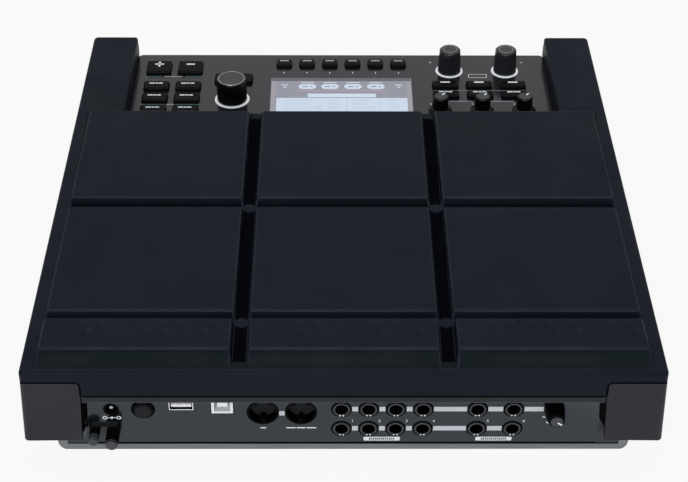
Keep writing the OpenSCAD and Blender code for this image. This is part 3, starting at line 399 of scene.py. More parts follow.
def gather(parts):
    """One shape from several."""
    whole = bmesh.new()
    for part in parts:
        carrier = bpy.data.meshes.new("carrier")
        part.to_mesh(carrier)
        part.free()
        whole.from_mesh(carrier)
        bpy.data.meshes.remove(carrier)
    return whole


def piece(name, shape, looks, body=BODY, stands_for=None):
    """Object of one shape, or of several, that rides on a body and takes its finish from a slot."""
    if isinstance(shape, list):
        shape = gather(shape)
    shape.transform(METRES)
    mesh = bpy.data.meshes.new(name)
    shape.to_mesh(mesh)
    shape.free()
    for look in looks:
        mesh.materials.append(finish(look))
    mesh.polygons.foreach_set("use_smooth", [True] * len(mesh.polygons))
    mesh.set_sharp_from_angle(angle=SMOOTH_BELOW)
    made = bpy.data.objects.new(name, mesh)
    bpy.context.scene.collection.objects.link(made)
    made.modifiers.new("Even shading", "WEIGHTED_NORMAL").keep_sharp = True
    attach(made, body)
    if stands_for:
        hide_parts(stands_for)
    return made


def printed(name, parts, look):
    """Thin print on the panels."""
    piece(name, parts, [look])


def in_bay(x, depth):
    """Place on the control panel, its depth measured from the bay's line."""
    return shift(x, BAY_LINE + depth, PANEL_HIGH.z)


def on_face(x, z, turn=0.0, lift=0.0):
    """Place on the socket panel, its local Y upwards and its local Z towards the camera."""
    return shift(x, FACE_Y - lift, z) @ Matrix.Rotation(QUARTER, 4, "X") @ spun(turn)


def on_top(node, across=0.0, along=0.0):
    """Place on top of a node, offset from its middle."""
    centre = middle(node)
    return shift(centre.x + across, centre.y + along, box(node)[1].z)


# Node helpers


def put(tree, kind, inputs=None, **settings):
    """Node with its settings, its inputs linked or set."""
    node = tree.nodes.new(kind)
    for key, value in settings.items():
        setattr(node, key, value)
    for key, value in (inputs or {}).items():
        socket = node.inputs[key]
        if isinstance(value, bpy.types.NodeSocket):
            tree.links.new(value, socket)
        else:
            socket.default_value = value
    return node


def calc(tree, operation, first, second=0.0, third=0.0):
    """Result of a Math node."""
    inputs = {0: first, 1: second, 2: third}
    return put(tree, "ShaderNodeMath", inputs, operation=operation).outputs[0]


def product(tree, *values):
    """Product of two or more values."""
    whole = values[0]
    for value in values[1:]:
        whole = calc(tree, "MULTIPLY", whole, value)
    return whole


def between(tree, value, low, high):
    """One inside a range, else nought."""
    return product(tree, calc(tree, "GREATER_THAN", value, low), calc(tree, "LESS_THAN", value, high))


def mixed(tree, factor, first, second):
    """Colour between two colours or sockets."""

    def full(value):
        return value if isinstance(value, bpy.types.NodeSocket) else (*value, 1.0)

    inputs = {0: factor, 6: full(first), 7: full(second)}
    return put(tree, "ShaderNodeMix", inputs, data_type="RGBA").outputs[2]


def ranged(tree, value, low, high, start=0.0, end=1.0):
    """Value mapped from a range onto another, held at its ends."""
    inputs = {"Value": value, "From Min": start, "From Max": end, "To Min": low, "To Max": high}
    return put(tree, "ShaderNodeMapRange", inputs).outputs["Result"]


def noise(tree, place, scale, detail, **more):
    """Factor of a noise texture."""
    inputs = {"Vector": place, "Scale": scale, "Detail": detail, **more}
    return put(tree, "ShaderNodeTexNoise", inputs).outputs["Fac"]


def object_place(tree):
    """Place on the object."""
    return put(tree, "ShaderNodeTexCoord").outputs["Object"]


def object_parts(tree):
    """Place on the object, as its three parts."""
    return put(tree, "ShaderNodeSeparateXYZ", {0: object_place(tree)}).outputs


def source(socket):
    """Socket that feeds another."""
    return socket.links[0].from_socket


def scaled(value, factor):
    """Colour times a factor, held below one."""
    return tuple(min(1.0, part * factor) for part in value)


def moulded_grain(tree, place, scale):
    """Fine moulded grain with slow changes of tone."""
    fine = noise(tree, place, scale, 3.0)
    slow = noise(tree, place, product(tree, scale, 0.013), 4.0)
    return {"Height": fine, "Tone": ranged(tree, slow, 0.0, 1.0, 0.3, 0.7)}


def hand_marks(tree, place, scale):
    """Soft marks left by hands."""
    marks = noise(tree, place, scale, 5.0, Distortion=0.6)
    return {"Mask": ranged(tree, marks, 0.0, 1.0, 0.35, 0.7)}


def dust_specks(tree, place, scale):
    """Thin specks of dust."""
    cells = put(tree, "ShaderNodeTexVoronoi", {"Vector": place, "Scale": scale}).outputs
    speck = ranged(tree, cells["Distance"], 1.0, 0.0, 0.03, 0.09)
    chance = put(tree, "ShaderNodeSeparateColor", {0: cells["Color"]}).outputs[0]
    return {"Mask": product(tree, speck, calc(tree, "GREATER_THAN", chance, 0.7))}


def brushed_lines(tree, place, scale):
    """Lines of brushed or rolled metal along X."""
    stretch = put(tree, "ShaderNodeMapping", {"Vector": place, "Scale": (0.02, 1.0, 1.0)})
    lines = noise(tree, stretch.outputs[0], scale, 3.0)
    return {"Height": lines, "Tone": ranged(tree, lines, 0.0, 1.0, 0.3, 0.7)}


def effect(tree, build, scale):
    """Outputs of an effect's shared node group, made once and placed with its own scale."""
    name = build.__name__.replace("_", " ").capitalize()
    group = bpy.data.node_groups.get(name)
    if group is None:
        group = bpy.data.node_groups.new(name, "ShaderNodeTree")
        group.interface.new_socket("Scale", in_out="INPUT", socket_type="NodeSocketFloat")
        entry = group.nodes.new("NodeGroupInput").outputs["Scale"]
        results = build(group, object_place(group), entry)
        for label in results:
            group.interface.new_socket(label, in_out="OUTPUT", socket_type="NodeSocketFloat")
        put(group, "NodeGroupOutput", results)
    return put(tree, "ShaderNodeGroup", {"Scale": scale}, node_tree=group).outputs


# Finishes

DUST_SCALE, DUST_COLOUR = 260.0, tint(150, 150, 150)
MARKS_SCALE = 30.0
RUBBER_GRAIN = 1900.0
# Rows of dashes on the bars: distance from the skin's near edge, and stagger. The first rows are pressed in
# and darkened with painted shade; the second rows are painted highlights.
DASH_ROWS = ((25.8, 0.78), (31.7, 0.2))
HIGHLIGHT_ROWS = ((28.6, 0.5), (35.9, 0.82))
# Colours of the painted shade in the pressed dashes and of the painted highlight dashes
SHADED_DASH, HIGHLIGHT_DASH = (0.0008, 0.001, 0.0016), tint(62, 66, 72)
# Start, end, share and colour of the bands of painted shade and highlight along the near foot of the
# shoulder bars: painted shade on the near slope, a painted highlight line at its foot and a painted shadow
# line just in front of it
PAINTED_FOOT_BANDS = (
    (3.0, 13.6, 1.0, (0.0018, 0.0062, 0.0094)),
    (3.0, 3.5, 0.5, tint(52, 58, 64)),
    (2.3, 2.9, 0.7, tint(10, 14, 18)),
)


def surface(name, base, rough, level=0.5, metal=0.0, grain=1500.0, depth=0.03, tone=0.15, spread=0.06,
            dust=0.0, brushed=False, bump=0.3, gleam=(1.0, 1.0, 1.0)):
    """Material with grain, hand marks and, if wanted, dust. Depth is in millimetres."""
    base = shade(base)
    made = bpy.data.materials.new(name)
    made.use_nodes = True
    tree = made.node_tree
    inputs = tree.nodes["Principled BSDF"].inputs
    texture = effect(tree, brushed_lines if brushed else moulded_grain, grain)
    paint = mixed(tree, texture["Tone"], scaled(base, 1 - tone), scaled(base, 1 + tone))
    if dust > 0:
        share = product(tree, effect(tree, dust_specks, DUST_SCALE)["Mask"], dust)
        paint = mixed(tree, share, paint, DUST_COLOUR)
    tree.links.new(paint, inputs["Base Color"])
    marks = effect(tree, hand_marks, MARKS_SCALE)["Mask"]
    tree.links.new(ranged(tree, marks, rough - spread, rough + spread), inputs["Roughness"])
    relief = {"Height": texture["Height"], "Strength": bump, "Distance": depth * MM}
    tree.links.new(put(tree, "ShaderNodeBump", relief).outputs["Normal"], inputs["Normal"])
    inputs["Specular IOR Level"].default_value = level
    inputs["Specular Tint"].default_value = (*gleam, 1.0)
    inputs["Metallic"].default_value = metal
    return made


def plain(name, base, rough, level=0.5, metal=0.0):
    """Surface with a light grain for small pieces."""
    return surface(name, base, rough, level, metal, grain=2200.0, depth=0.015, tone=0.08, spread=0.05)


def lit(name, base, glow, strength, rough=0.16):
    """Finish that gives off light, slightly uneven over its surface."""
    made = plain(name, base, rough)
    tree = made.node_tree
    inputs = tree.nodes["Principled BSDF"].inputs
    tone = effect(tree, moulded_grain, 900.0)["Tone"]
    light = mixed(tree, tone, scaled(shade(glow), 0.96), scaled(shade(glow), 1.03))
    tree.links.new(light, inputs["Emission Color"])
    inputs["Emission Strength"].default_value = strength
    return made


def dash_rows(tree, parts, lines):
    """Mask of staggered dashes on top of the shoulder bars."""
    half = 0.45 * MM
    rows = 0.0
    for distance, stagger in lines:
        line = (SKIN_LOW.y + distance) * MM
        step = calc(tree, "MULTIPLY_ADD", parts["X"], 1 / (size("dimple_pitch") * MM), stagger)
        dash = between(tree, calc(tree, "FRACT", step), 0.38, 0.62)
        row = product(tree, dash, between(tree, parts["Y"], line - half, line + half))
        rows = calc(tree, "MAXIMUM", rows, row)
    return product(tree, rows, calc(tree, "GREATER_THAN", parts["Z"], (SKIN_HIGH.z - 0.4) * MM))


def rubber(name):
    """Moulded rubber with a fine matt grain, dust, bands of painted shade and highlight along the bars' near
    foot, and rows of dashes on the bars: pressed ones darkened with painted shade, and painted highlight
    ones.
    """
    made = surface(
        name, "rubber", 0.5, 0.075, grain=RUBBER_GRAIN, depth=0.02, tone=0.1, spread=0.07, dust=0.012
    )
    tree = made.node_tree
    inputs = tree.nodes["Principled BSDF"].inputs
    parts = object_parts(tree)
    chance = effect(tree, hand_marks, 150.0)["Mask"]
    # Rows of painted highlight dashes
    pale = product(tree, dash_rows(tree, parts, HIGHLIGHT_ROWS), chance, 0.5)
    paint = mixed(tree, pale, source(inputs["Base Color"]), HIGHLIGHT_DASH)
    reach = (SKIN_HIGH.x - 8) * MM
    inside = between(tree, parts["X"], -reach, reach)
    # Bands of painted shade and highlight along the bars' near foot
    for start, end, share, tone in PAINTED_FOOT_BANDS:
        band = between(tree, parts["Y"], (SKIN_LOW.y + start) * MM, (SKIN_LOW.y + end) * MM)
        paint = mixed(tree, product(tree, band, inside, share), paint, tone)
    # Pressed dashes, darkened with painted shade
    dashes = dash_rows(tree, parts, DASH_ROWS)
    dark = product(tree, dashes, ranged(tree, chance, 0.4, 1.0))
    tree.links.new(mixed(tree, dark, paint, SHADED_DASH), inputs["Base Color"])
    grain = source(inputs["Normal"])
    pressed = {"Height": dashes, "Strength": 0.5, "Distance": 0.2 * MM, "Normal": grain}
    bump = put(tree, "ShaderNodeBump", pressed, invert=True)
    tree.links.new(bump.outputs["Normal"], inputs["Normal"])
    return made


def rubber_edge(name):
    """Rubber with a painted highlight along an edge: a paler colour, less rough and with a higher specular
    level.
    """
    return surface(name, scaled(shade("rubber"), 1.35), 0.42, 0.11, grain=RUBBER_GRAIN, depth=0.015)


def rubber_groove(name):
    """Rubber of the pads' flanks with painted shade, darker towards their foot."""
    made = surface(name, "rubber", 0.6, 0.02, grain=RUBBER_GRAIN, depth=0.02, tone=0.1)
    tree = made.node_tree
    base = tree.nodes["Principled BSDF"].inputs["Base Color"]
    foot = SKIN_HIGH.z - size("bar_rise")
    height = object_parts(tree)["Z"]
    share = ranged(tree, height, 1.0, 0.0, (foot + 0.4) * MM, (foot + 2.6) * MM)
    tree.links.new(mixed(tree, share, source(base), scaled(shade("rubber"), 0.22)), base)
    return made


SPECIAL = {"Rubber": rubber, "Rubber edge": rubber_edge, "Rubber groove": rubber_groove}
# Colour, roughness, and where they aren't usual the specular level and the share of metal
PLAIN = {
    "Smoked strip": ((0.0024, 0.0026, 0.0046), 0.5, 0.0),
    # Painted shade: near black put in seams, gaps and hollows and on walls where there is only shade
    "Gasket": ((0.0016, 0.0016, 0.0018), 0.8, 0.03),
    "Deep black": ((0.0016, 0.0017, 0.0020), 0.5, 0.05),
    "Gloss black": ((0.0020, 0.0021, 0.0024), 0.2, 0.42),
    "Lip plastic": (tint(36, 40, 45), 0.5, 0.15),
    # Lip edge: paler, a painted highlight on the lip's rounded lower edge
    "Lip edge": (tint(84, 90, 97), 0.4),
    "Peg grey": (tint(62, 65, 69), 0.45, 0.2),
    "Grey cap": (tint(46, 48, 53), 0.45),
    # Rim highlight: a bright ring on the knobs' top edge, a painted highlight
    "Bright rim": (tint(168, 170, 173), 0.36, 0.5, 0.45),
    "White print": ("white_print", 0.55),
    "Grey print": ("grey_print", 0.55),
    "Teal print": ("teal_print", 0.55),
    "Pale blue print": ("blue_print", 0.55),
    "Strip print": (tint(190, 196, 202), 0.55),
    "Socket floor": (tint(36, 37, 40), 0.7, 0.05),
    "Port grey": (tint(214, 216, 219), 0.45),
    "White insert": (tint(228, 229, 231), 0.45),
    "Pin steel": (tint(190, 190, 190), 0.25, 0.5, 1.0),
    "Component": (tint(30, 31, 33), 0.4),
    "Sensor film": (tint(150, 128, 76), 0.35),
}
# Base colour, glow, its strength, and where it isn't the glass's the roughness
GLASS = (0.01, 0.01, 0.01)
LIT = {
    "Lit ring": (tint(226, 230, 234), tint(214, 222, 230), 0.25, 0.4),
    "Lit mark": (tint(206, 214, 220), tint(196, 206, 214), 0.2, 0.4),
    "Screen": ((0.012, 0.012, 0.014), "screen", 0.8),
    "Screen light": ((0.02, 0.02, 0.02), "screen_light", 0.9),
    "Screen dark": (GLASS, tint(100, 98, 108), 0.7),
    "Screen side": (GLASS, tint(160, 157, 164), 0.82),
    "Screen pink": (GLASS, tint(206, 150, 176), 0.95),
    "Screen blue": (GLASS, tint(140, 150, 182), 0.95),
    "Screen faint": (GLASS, tint(174, 190, 216), 0.95),
}
METAL = {"brushed": True, "depth": 0.006}
GLOSSY = {"depth": 0.003, "tone": 0.06, "spread": 0.03}
# Colour, roughness, specular level and share of metal, and the settings of the surface
SURFACES = {
    "Corner plastic": (("block", 0.45, 0.15), {"depth": 0.02, "dust": 0.012}),
    "Tray metal": (("tray", 0.42, 0.5, 0.85), {"brushed": True, "depth": 0.01}),
    "Foot rubber": ((tint(24, 24, 26), 0.7), {"depth": 0.05, "tone": 0.2}),
    "Foam": ((tint(52, 54, 58), 0.9), {"grain": 700.0, "depth": 0.25, "tone": 0.25, "bump": 0.8}),
    "Socket panel plastic": (
        ("socket_panel", 0.13, 0.66), {**GLOSSY, "grain": 2400.0, "bump": 0.1, "gleam": (0.72, 0.85, 1.0)},
    ),
    "Control panel plastic": (("control_panel", 0.16, 0.47), {**GLOSSY, "grain": 2600.0, "bump": 0.12}),
    "Button plastic": (("button", 0.4, 0.055), {"grain": 2400.0, "depth": 0.012, "dust": 0.01}),
    "Control knob plastic": ((tint(30, 32, 36), 0.35), {"grain": 2000.0, "depth": 0.012}),
    "Knob plastic": (("knob", 0.32, 0.22), {"grain": 2000.0, "depth": 0.012}),
    "Knob inlay": (("knob_top", 0.4, 0.3), {"grain": 2600.0, "depth": 0.015, "tone": 0.1}),
    "Port metal": ((tint(240, 240, 240), 0.35, 0.5, 0.2), METAL),
    "Brass": ((tint(196, 160, 88), 0.3, 0.5, 1.0), METAL),
    "Steel": ((tint(150, 152, 155), 0.32, 0.5, 1.0), METAL),
    "Board": ((tint(26, 74, 48), 0.4), {"grain": 500.0, "tone": 0.2}),
    "Ribbon": ((tint(132, 133, 136), 0.5), {"brushed": True, "grain": 900.0, "depth": 0.1}),
}


def finish(name):
    """Finish by its name, made once."""
    if name not in bpy.data.materials:
        if name in SPECIAL:
            SPECIAL[name](name)
        elif name in LIT:
            lit(name, *LIT[name])
        elif name in SURFACES:
            look, settings = SURFACES[name]
            surface(name, *look, **settings)
        else:
            plain(name, *PLAIN[name])
    return bpy.data.materials[name]


# Operators


class PAD_OT_rubber_skin(bpy.types.Operator):
    """Rubber playing surface with soft edges on its pads, bars, border and bay"""

    bl_idname = "pad.rubber_skin"
    bl_label = "Rubber skin"

    def execute(self, context):
        shape = solid_copy("pad_overlay")
        border = SKIN_HIGH.z - size("bar_rise")
        pads = SKIN_HIGH.z - 3
        slots = box("light_guides")[1]

        def raised(a, b):
            return max(a.z, b.z) > border + 1

        def outer(a, b):
            in_slot = max(abs(a.x), abs(b.x)) < slots.x + 3 and max(a.y, b.y) < slots.y + 3
            rim = min(a.z, b.z) > border - 0.1 and not in_slot
            flank = min(abs(a.x), abs(b.x)) > SKIN_HIGH.x - 0.3
            far_end = min(a.y, b.y) > SKIN_HIGH.y - 0.3
            return not raised(a, b) and (rim or (flank or far_end) and abs(a.z - b.z) > 2)

        soften_outer(shape, outer, SHALLOW, size("skin_rim"), 5)
        # Rounded raised edges take the rubber edge finish, whose paler colour is a painted highlight
        for face in soften_outer(shape, raised, SHALLOW, size("skin_edge"), 4):
            face.material_index = 1
        # The pads' flanks take painted shade, darker towards their foot
        for face in shape.faces:
            on_pad = border + 1 < max(v.co.z for v in face.verts) < pads + 0.2
            if face.material_index == 0 and on_pad and face.normal.z < 0.95:
                face.material_index = 2
        looks = ("Rubber", "Rubber edge", "Rubber groove")
        piece("rubber_skin", shape, looks, stands_for="pad_overlay")
        return {"FINISHED"}


class PAD_OT_pad_layers(bpy.types.Operator):
    """Foam cushions and light strips under the rubber skin"""

    bl_idname = "pad.pad_layers"
    bl_label = "Layers under the pads"

    def execute(self, context):
        shape = solid_copy("pad_cushions")
        soften(shape, upright_edges(shape, 1), 4, 4)
        soften_outer(shape, lambda a, b: abs(a.z - b.z) < 0.1, 50, 0.5, 2)
        cushions = piece("foam_cushions", shape, ["Foam"], stands_for="pad_cushions")
        strips = solid_copy("light_guides")
        soften_outer(strips, lambda a, b: (a - b).length > 2, 60, 0.3, 2)
        piece("light_strips", strips, ["Smoked strip"], stands_for="light_guides")
        return {"FINISHED"}


class PAD_OT_upper_case(bpy.types.Operator):
    """Upper half of the case with softened corner blocks"""

    bl_idname = "pad.upper_case"
    bl_label = "Upper case"

    def execute(self, context):
        shape = solid_copy("top_case")
        low, high = box("top_case")

        def block(a, b):
            near = max(a.y, b.y) < low.y + 24
            outer = min(abs(a.x), abs(b.x)) > high.x - 36
            return near and outer and (a - b).length > 2

        near = [v.co for v in shape.verts if v.co.y < low.y + 1 and abs(v.co.x) > high.x - 20]
        top = max(spot.z for spot in near)
        soften_outer(shape, block, STEEP, size("block_edge"))
        piece("upper_case", shape, ["Corner plastic"], stands_for="top_case")
        self.seams(top, FACE_Y - low.y)
        return {"FINISHED"}

    def seams(self, top, lift):
        """Painted shade lines along the seams between the corner blocks and the rubber."""
        line = size("seal_width")
        start, outer = SEAM_X + SEAM_BEND, SKIN_HIGH.x - 0.6
        foot, turn_z = SKIN_LOW.z, top - SEAM_BEND
        parts = []
        for side, turn in ((-1, 0.0), (1, QUARTER)):
            along = on_face(side * (outer + start) / 2, top, lift=lift)
            down = on_face(side * SEAM_X, (foot + turn_z) / 2, lift=lift)
            parts.append(bar(outer - start, line, along, SEAM_T))
            parts.append(bar(line, turn_z - foot, down, SEAM_T))
            parts.append(bend(SEAM_BEND, line, SEAM_T, QUARTER, on_face(side * start, turn_z, turn, lift)))
        piece("corner_seals", parts, ["Gasket"])


class PAD_OT_tray_and_feet(bpy.types.Operator):
    """Sheet metal tray and its feet"""

    bl_idname = "pad.tray_and_feet"
    bl_label = "Tray and feet"

    def execute(self, context):
        piece("metal_tray", solid_copy("bottom_tray"), ["Tray metal"], stands_for="bottom_tray")
        low, high = box("rubber_feet")
        near = MOUNTS["feet"]
        radius = high.x - near.x
        tall = high.z - low.z
        outline = [
            (0, 0.3),
            (radius * 0.55, 0.3),
            (radius * 0.62, 0),
            (radius - 1.2, 0),
            (radius - 0.3, 0.6),
            (radius, 1.6),
            (radius, tall),
            (0, tall),
        ]
        rows = (near.y, high.y - radius)
        feet = [lathe(outline, shift(side * near.x, y, low.z), 40) for side in (-1, 1) for y in rows]
        piece("rubber_feet_turned", feet, ["Foot rubber"], stands_for="rubber_feet")
        return {"FINISHED"}


class PAD_OT_socket_panel(bpy.types.Operator):
    """Recessed socket panel with its lip, and the prints on it"""

    bl_idname = "pad.socket_panel"
    bl_label = "Socket panel"

    def execute(self, context):
        shape = solid_copy("rear_panel")
        low, high = box("rear_panel")

        def lip(a, b):
            near = max(a.y, b.y) < low.y + 0.1
            return near and (a - b).length > 20 and min(a.z, b.z) > low.z + 20

        def cheek(face):
            spot = face.calc_center_median()
            return abs(spot.x) > CHEEK_X and low.y + 0.3 < spot.y < FACE_Y and abs(face.normal.x) > 0.5

        rounded = set(soften_outer(shape, lip, STEEP, size("panel_edge"), 2))
        # Cheek faces above CHEEK_Z take painted shade
        cut_across(shape, [f for f in shape.faces if cheek(f)], (0, 0, CHEEK_Z), (0, 0, 1))
        for face in shape.faces:
            spot = face.calc_center_median()
            if cheek(face) and spot.z > CHEEK_Z:
                face.material_index = 1
            # The lip takes its plastic, and its rounded lower edge a paler colour, a painted highlight
            if spot.y < low.y + 0.6 and spot.z > high.z - LIP_TALL:
                face.material_index = 3 if face in rounded and spot.z < high.z - 2 else 2
        looks = ("Socket panel plastic", "Gasket", "Lip plastic", "Lip edge")
        piece("socket_panel", shape, looks, stands_for="rear_panel")
        self.seams(low, high)
        self.strips()
        self.labels()
        return {"FINISHED"}

    def seams(self, low, high):
        """Painted shade lines between the lip and the rubber, and between the panel and the tray."""
        gap = SKIN_LOW.z - high.z + 0.5
        under = on_face(0, SKIN_LOW.z - gap / 2, lift=FACE_Y - low.y - 0.35)
        foot = on_face(0, low.z + 0.4)
        parts = [plate(SHADE_LINE_WIDE, gap, 0.4, 0, under), plate(SHADE_LINE_WIDE, 1.1, 0.08, 0, foot)]
        piece("panel_gaskets", parts, ["Gasket"])

    def strips(self):
        """Pale strips between the jacks, up to the gain knob, and between the round sockets."""
        clear = size("jack_nose") / 2 + 0.3
        parts = []
        for names in (UPPER_JACKS, LOWER_JACKS):
            spots = [MOUNTS[n] for n in names]
            spans = [(a.x + clear, b.x - clear) for a, b in zip(spots, spots[1:])]
            if names is UPPER_JACKS:
                spans.append((spots[-1].x + clear, middle("gain_knob").x - 6))
            for start, end in spans:
                place = on_face((start + end) / 2, spots[0].z + 0.2)
                parts.append(bar(end - start, size("strip_width"), place))
        left, right = MOUNTS["data_socket_1"], MOUNTS["data_socket_2"]
        parts.append(bar(3.0, 3.2, on_face((left.x + right.x) / 2, left.z - 0.6)))
        printed("socket_strips", parts, "Strip print")

    def labels(self):
        """Numbers, bare label boxes, inlet sign, dial ticks and word bars."""
        thick = size("print_height")
        parts, dark = [], []
        for number, name in enumerate(LOWER_JACKS, 1):
            place = on_face(MOUNTS[name].x + 6.0, MOUNTS[name].z + 5.6)
            parts.append(figures(str(number), size("figure_size"), thick, place))
        row = MOUNTS["jack_lower_1"].z - 7.7
        for start, end in (("jack_lower_2", "jack_lower_3"), ("jack_lower_5", "jack_lower_6")):
            centre = (MOUNTS[start].x + MOUNTS[end].x) / 2
            parts.append(plate(20, 2.75, thick, 0.5, on_face(centre, row)))
            for step in range(-6, 7):
                place = on_face(centre + step * 1.1, row, lift=thick)
                dark.append(bar(0.7, (1.5, 1.7, 1.4)[step % 3], place, 0.03))
        inlet = MOUNTS["power_inlet"]
        sign = inlet.z - 6.2
        parts.append(disc(0.8, thick, on_face(inlet.x, sign), 20))
        for side in (-1, 1):
            parts.append(ring(1.25, 0.75, thick, on_face(inlet.x + side * 3.8, sign), 24))
            parts.append(bar(1.4, 0.4, on_face(inlet.x + side * 1.85, sign)))
        knob = middle("gain_knob")
        for across, down, turn in ((-5.5, 5.7, 1.1), (-3.3, 10.0, 0.7)):
            parts.append(bar(0.6, 1.8, on_face(knob.x + across, knob.z - down, turn)))
        for name, span, offsets in (("data_socket_1", 3.2, (0,)), ("data_socket_2", 5.0, (-5.6, 0, 5.6))):
            socket = MOUNTS[name]
            parts += [bar(span, 0.8, on_face(socket.x + across, socket.z - 11.4)) for across in offsets]
        printed("socket_labels", parts, "White print")
        printed("label_bars", dark, "Grey cap")


def fronted(node, width, segments=2):
    """Copy of a piece on the socket panel, its front edges rounded, and where its front is."""
    shape = solid_copy(node)
    front = box(node)[0].y
    soften_outer(shape, lambda a, b: max(a.y, b.y) < front + 0.05, STEEP, width, segments)
    return shape, front


class PAD_OT_sockets(bpy.types.Operator):
    """Jacks, round sockets, data ports and power inlet"""

    bl_idname = "pad.sockets"
    bl_label = "Sockets"

    def execute(self, context):
        self.jacks()
        self.round_sockets()
        self.ports()
        self.inlet()
        return {"FINISHED"}

    def jacks(self):
        """Jacks with grey collars and two marks each."""
        shape, front = fronted("jack_sockets", 0.35, 3)
        piece("jack_noses", shape, ["Deep black"], stands_for="jack_sockets")
        bore, nose = size("jack_bore") / 2, size("jack_nose") / 2
        low, high = -0.05, 0.12
        outline = [(bore + 0.35, low), (nose - 0.85, low), (nose - 1.0, high), (bore + 0.5, high)]
        collars, marks = [], []
        for name in UPPER_JACKS + LOWER_JACKS:
            place = on_face(MOUNTS[name].x, MOUNTS[name].z, lift=FACE_Y - front)
            collars.append(lathe(outline, place, 40, True))
            marks += [bar(0.7, 0.9, place @ shift(x, -bore - 0.85, high), 0.04) for x in (-0.9, 0.9)]
        piece("jack_collars", collars, ["Grey cap"])
        printed("jack_marks", marks, "White print")

    def round_sockets(self):
        """Round sockets with paler floors and their keys."""
        shape, front = fronted("midi_sockets", 0.35, 3)
        marked(shape, 1, lambda c: c.y > front + 4)
        looks = ("Deep black", "Socket floor")
        piece("round_sockets", shape, looks, stands_for="midi_sockets")
        keys = []
        for name in ("data_socket_1", "data_socket_2"):
            place = on_face(MOUNTS[name].x, MOUNTS[name].z - 6.4, lift=FACE_Y - front - 6.4)
            keys.append(plate(2.6, 2.4, 5.6, 0.4, place, 0.3))
        piece("round_socket_keys", keys, ["Deep black"])

    def ports(self):
        """Data ports with pale hollows and blades, painted shade low in the host port's hollow, and painted
        shade lines round them.
        """
        gaps = []
        # Shell's finish, half sizes of the hollow, and half width, low and high side of the blade
        for node, port, shell, half, blade in (
            ("usb_host_socket", "host_port", "Port metal", (6.3, 2.6), (5.6, -1.8, 0.2)),
            ("usb_device_socket", "device_port", "White insert", (4.4, 4.0), (2.9, -1.7, 1.7)),
        ):
            shape, front = fronted(node, 0.2)
            spot = MOUNTS[port]
            low, high = box(node)
            around = high - low + Vector((0.9, 0, 0.9))
            # Painted shade lines round the port
            gaps += frame_line(around.x, around.z, 0.45, on_face(spot.x, spot.z))
            for face in shape.faces:
                centre = face.calc_center_median()
                across, up, depth = abs(centre.x - spot.x), centre.z - spot.z, centre.y - front
                hollow = across < half[0] and abs(up) < half[1] and depth > 0.3
                if hollow:
                    face.material_index = 1
                if across < blade[0] and blade[1] < up < blade[2] and depth > 1:
                    face.material_index = 2
                # The low part of the host port's hollow takes painted shade
                if port == "host_port" and hollow and up < 0.6 - half[1]:
                    face.material_index = 3
            looks = (shell, "Port grey", "White insert", "Gasket")
            piece(node + "_finished", shape, looks, stands_for=node)
        piece("port_gaps", gaps, ["Gasket"])

    def inlet(self):
        """Power inlet with a bright pin."""
        shape, front = fronted("dc_socket", 0.3)
        spot = MOUNTS["power_inlet"]
        for face in shape.faces:
            out = max(math.hypot(v.co.x - spot.x, v.co.z - spot.z) for v in face.verts)
            if out < 1.3 and face.normal.y < -0.7 and face.calc_center_median().y < front + 10:
                face.material_index = 1
        piece("power_inlet", shape, ("Deep black", "Pin steel"), stands_for="dc_socket")


class PAD_OT_socket_controls(bpy.types.Operator):
    """Cable hook, power button and gain knob"""

    bl_idname = "pad.socket_controls"
    bl_label = "Hook, power button and gain knob"

    def execute(self, context):
        self.hook()
        self.power()
        self.gain()
        return {"FINISHED"}

    def hook(self):
        """Pegs and web, the left peg paler outside its root."""
        shape = solid_copy("cable_hook")
        tip = box("cable_hook")[0].y + 4
        soften_outer(shape, lambda a, b: max(a.y, b.y) < tip, STEEP, 0.35)
        centre = middle("cable_hook").x
        root = FACE_Y - 5.5
        cut_across(shape, list(shape.faces), (0, root, 0), (0, 1, 0))
        for face in shape.faces:
            spot = face.calc_center_median()
            if spot.y > FACE_Y - 2.3:
                face.material_index = 3
            elif spot.x < centre and spot.y < root:
                face.material_index = 1
            elif face.normal.y < -0.7:
                face.material_index = 2
        looks = ("Deep black", "Peg grey", "Grey cap", "Gloss black")
        piece("cable_pegs", shape, looks, stands_for="cable_hook")

    def power(self):
        """Power button with its face, and a ring of painted shade in the gap round it."""
        node = "power_button"
        shape, front = fronted(node, 0.5, 3)
        push = middle(node)
        face = disc(4.3, 0.12, on_face(push.x, push.z, lift=FACE_Y - front) @ shift(0, -0.7))
        looks = ("Deep black", "Socket floor")
        piece("power_push", [shape, marked(face, 1)], looks, body=node, stands_for=node)
        # Ring of painted shade round the button
        gap = ring(6.6, 5.9, 0.08, on_face(push.x, push.z))
        piece("power_gap", gap, ["Gasket"])

    def gain(self):
        """Gain knob with its face and pointer."""
        node = "gain_knob"
        low, high = box(node)
        knob = middle(node)
        radius = (high.x - low.x) / 2 - 2.3
        place = on_face(knob.x, knob.z, lift=FACE_Y - low.y)
        face = marked(lathe([(0, 0), (radius, 0), (radius, 0.12), (0, 0.2)], place, 40), 1)
        pointer = marked(bar(0.8, 3.0, place @ spun(math.radians(-125)) @ shift(0, 2.2, 0.14), 0.1), 2)
        parts = [solid_copy(node), face, pointer]
        looks = ("Deep black", "Grey cap", "White print")
        piece("gain_dial", parts, looks, body=node, stands_for=node)


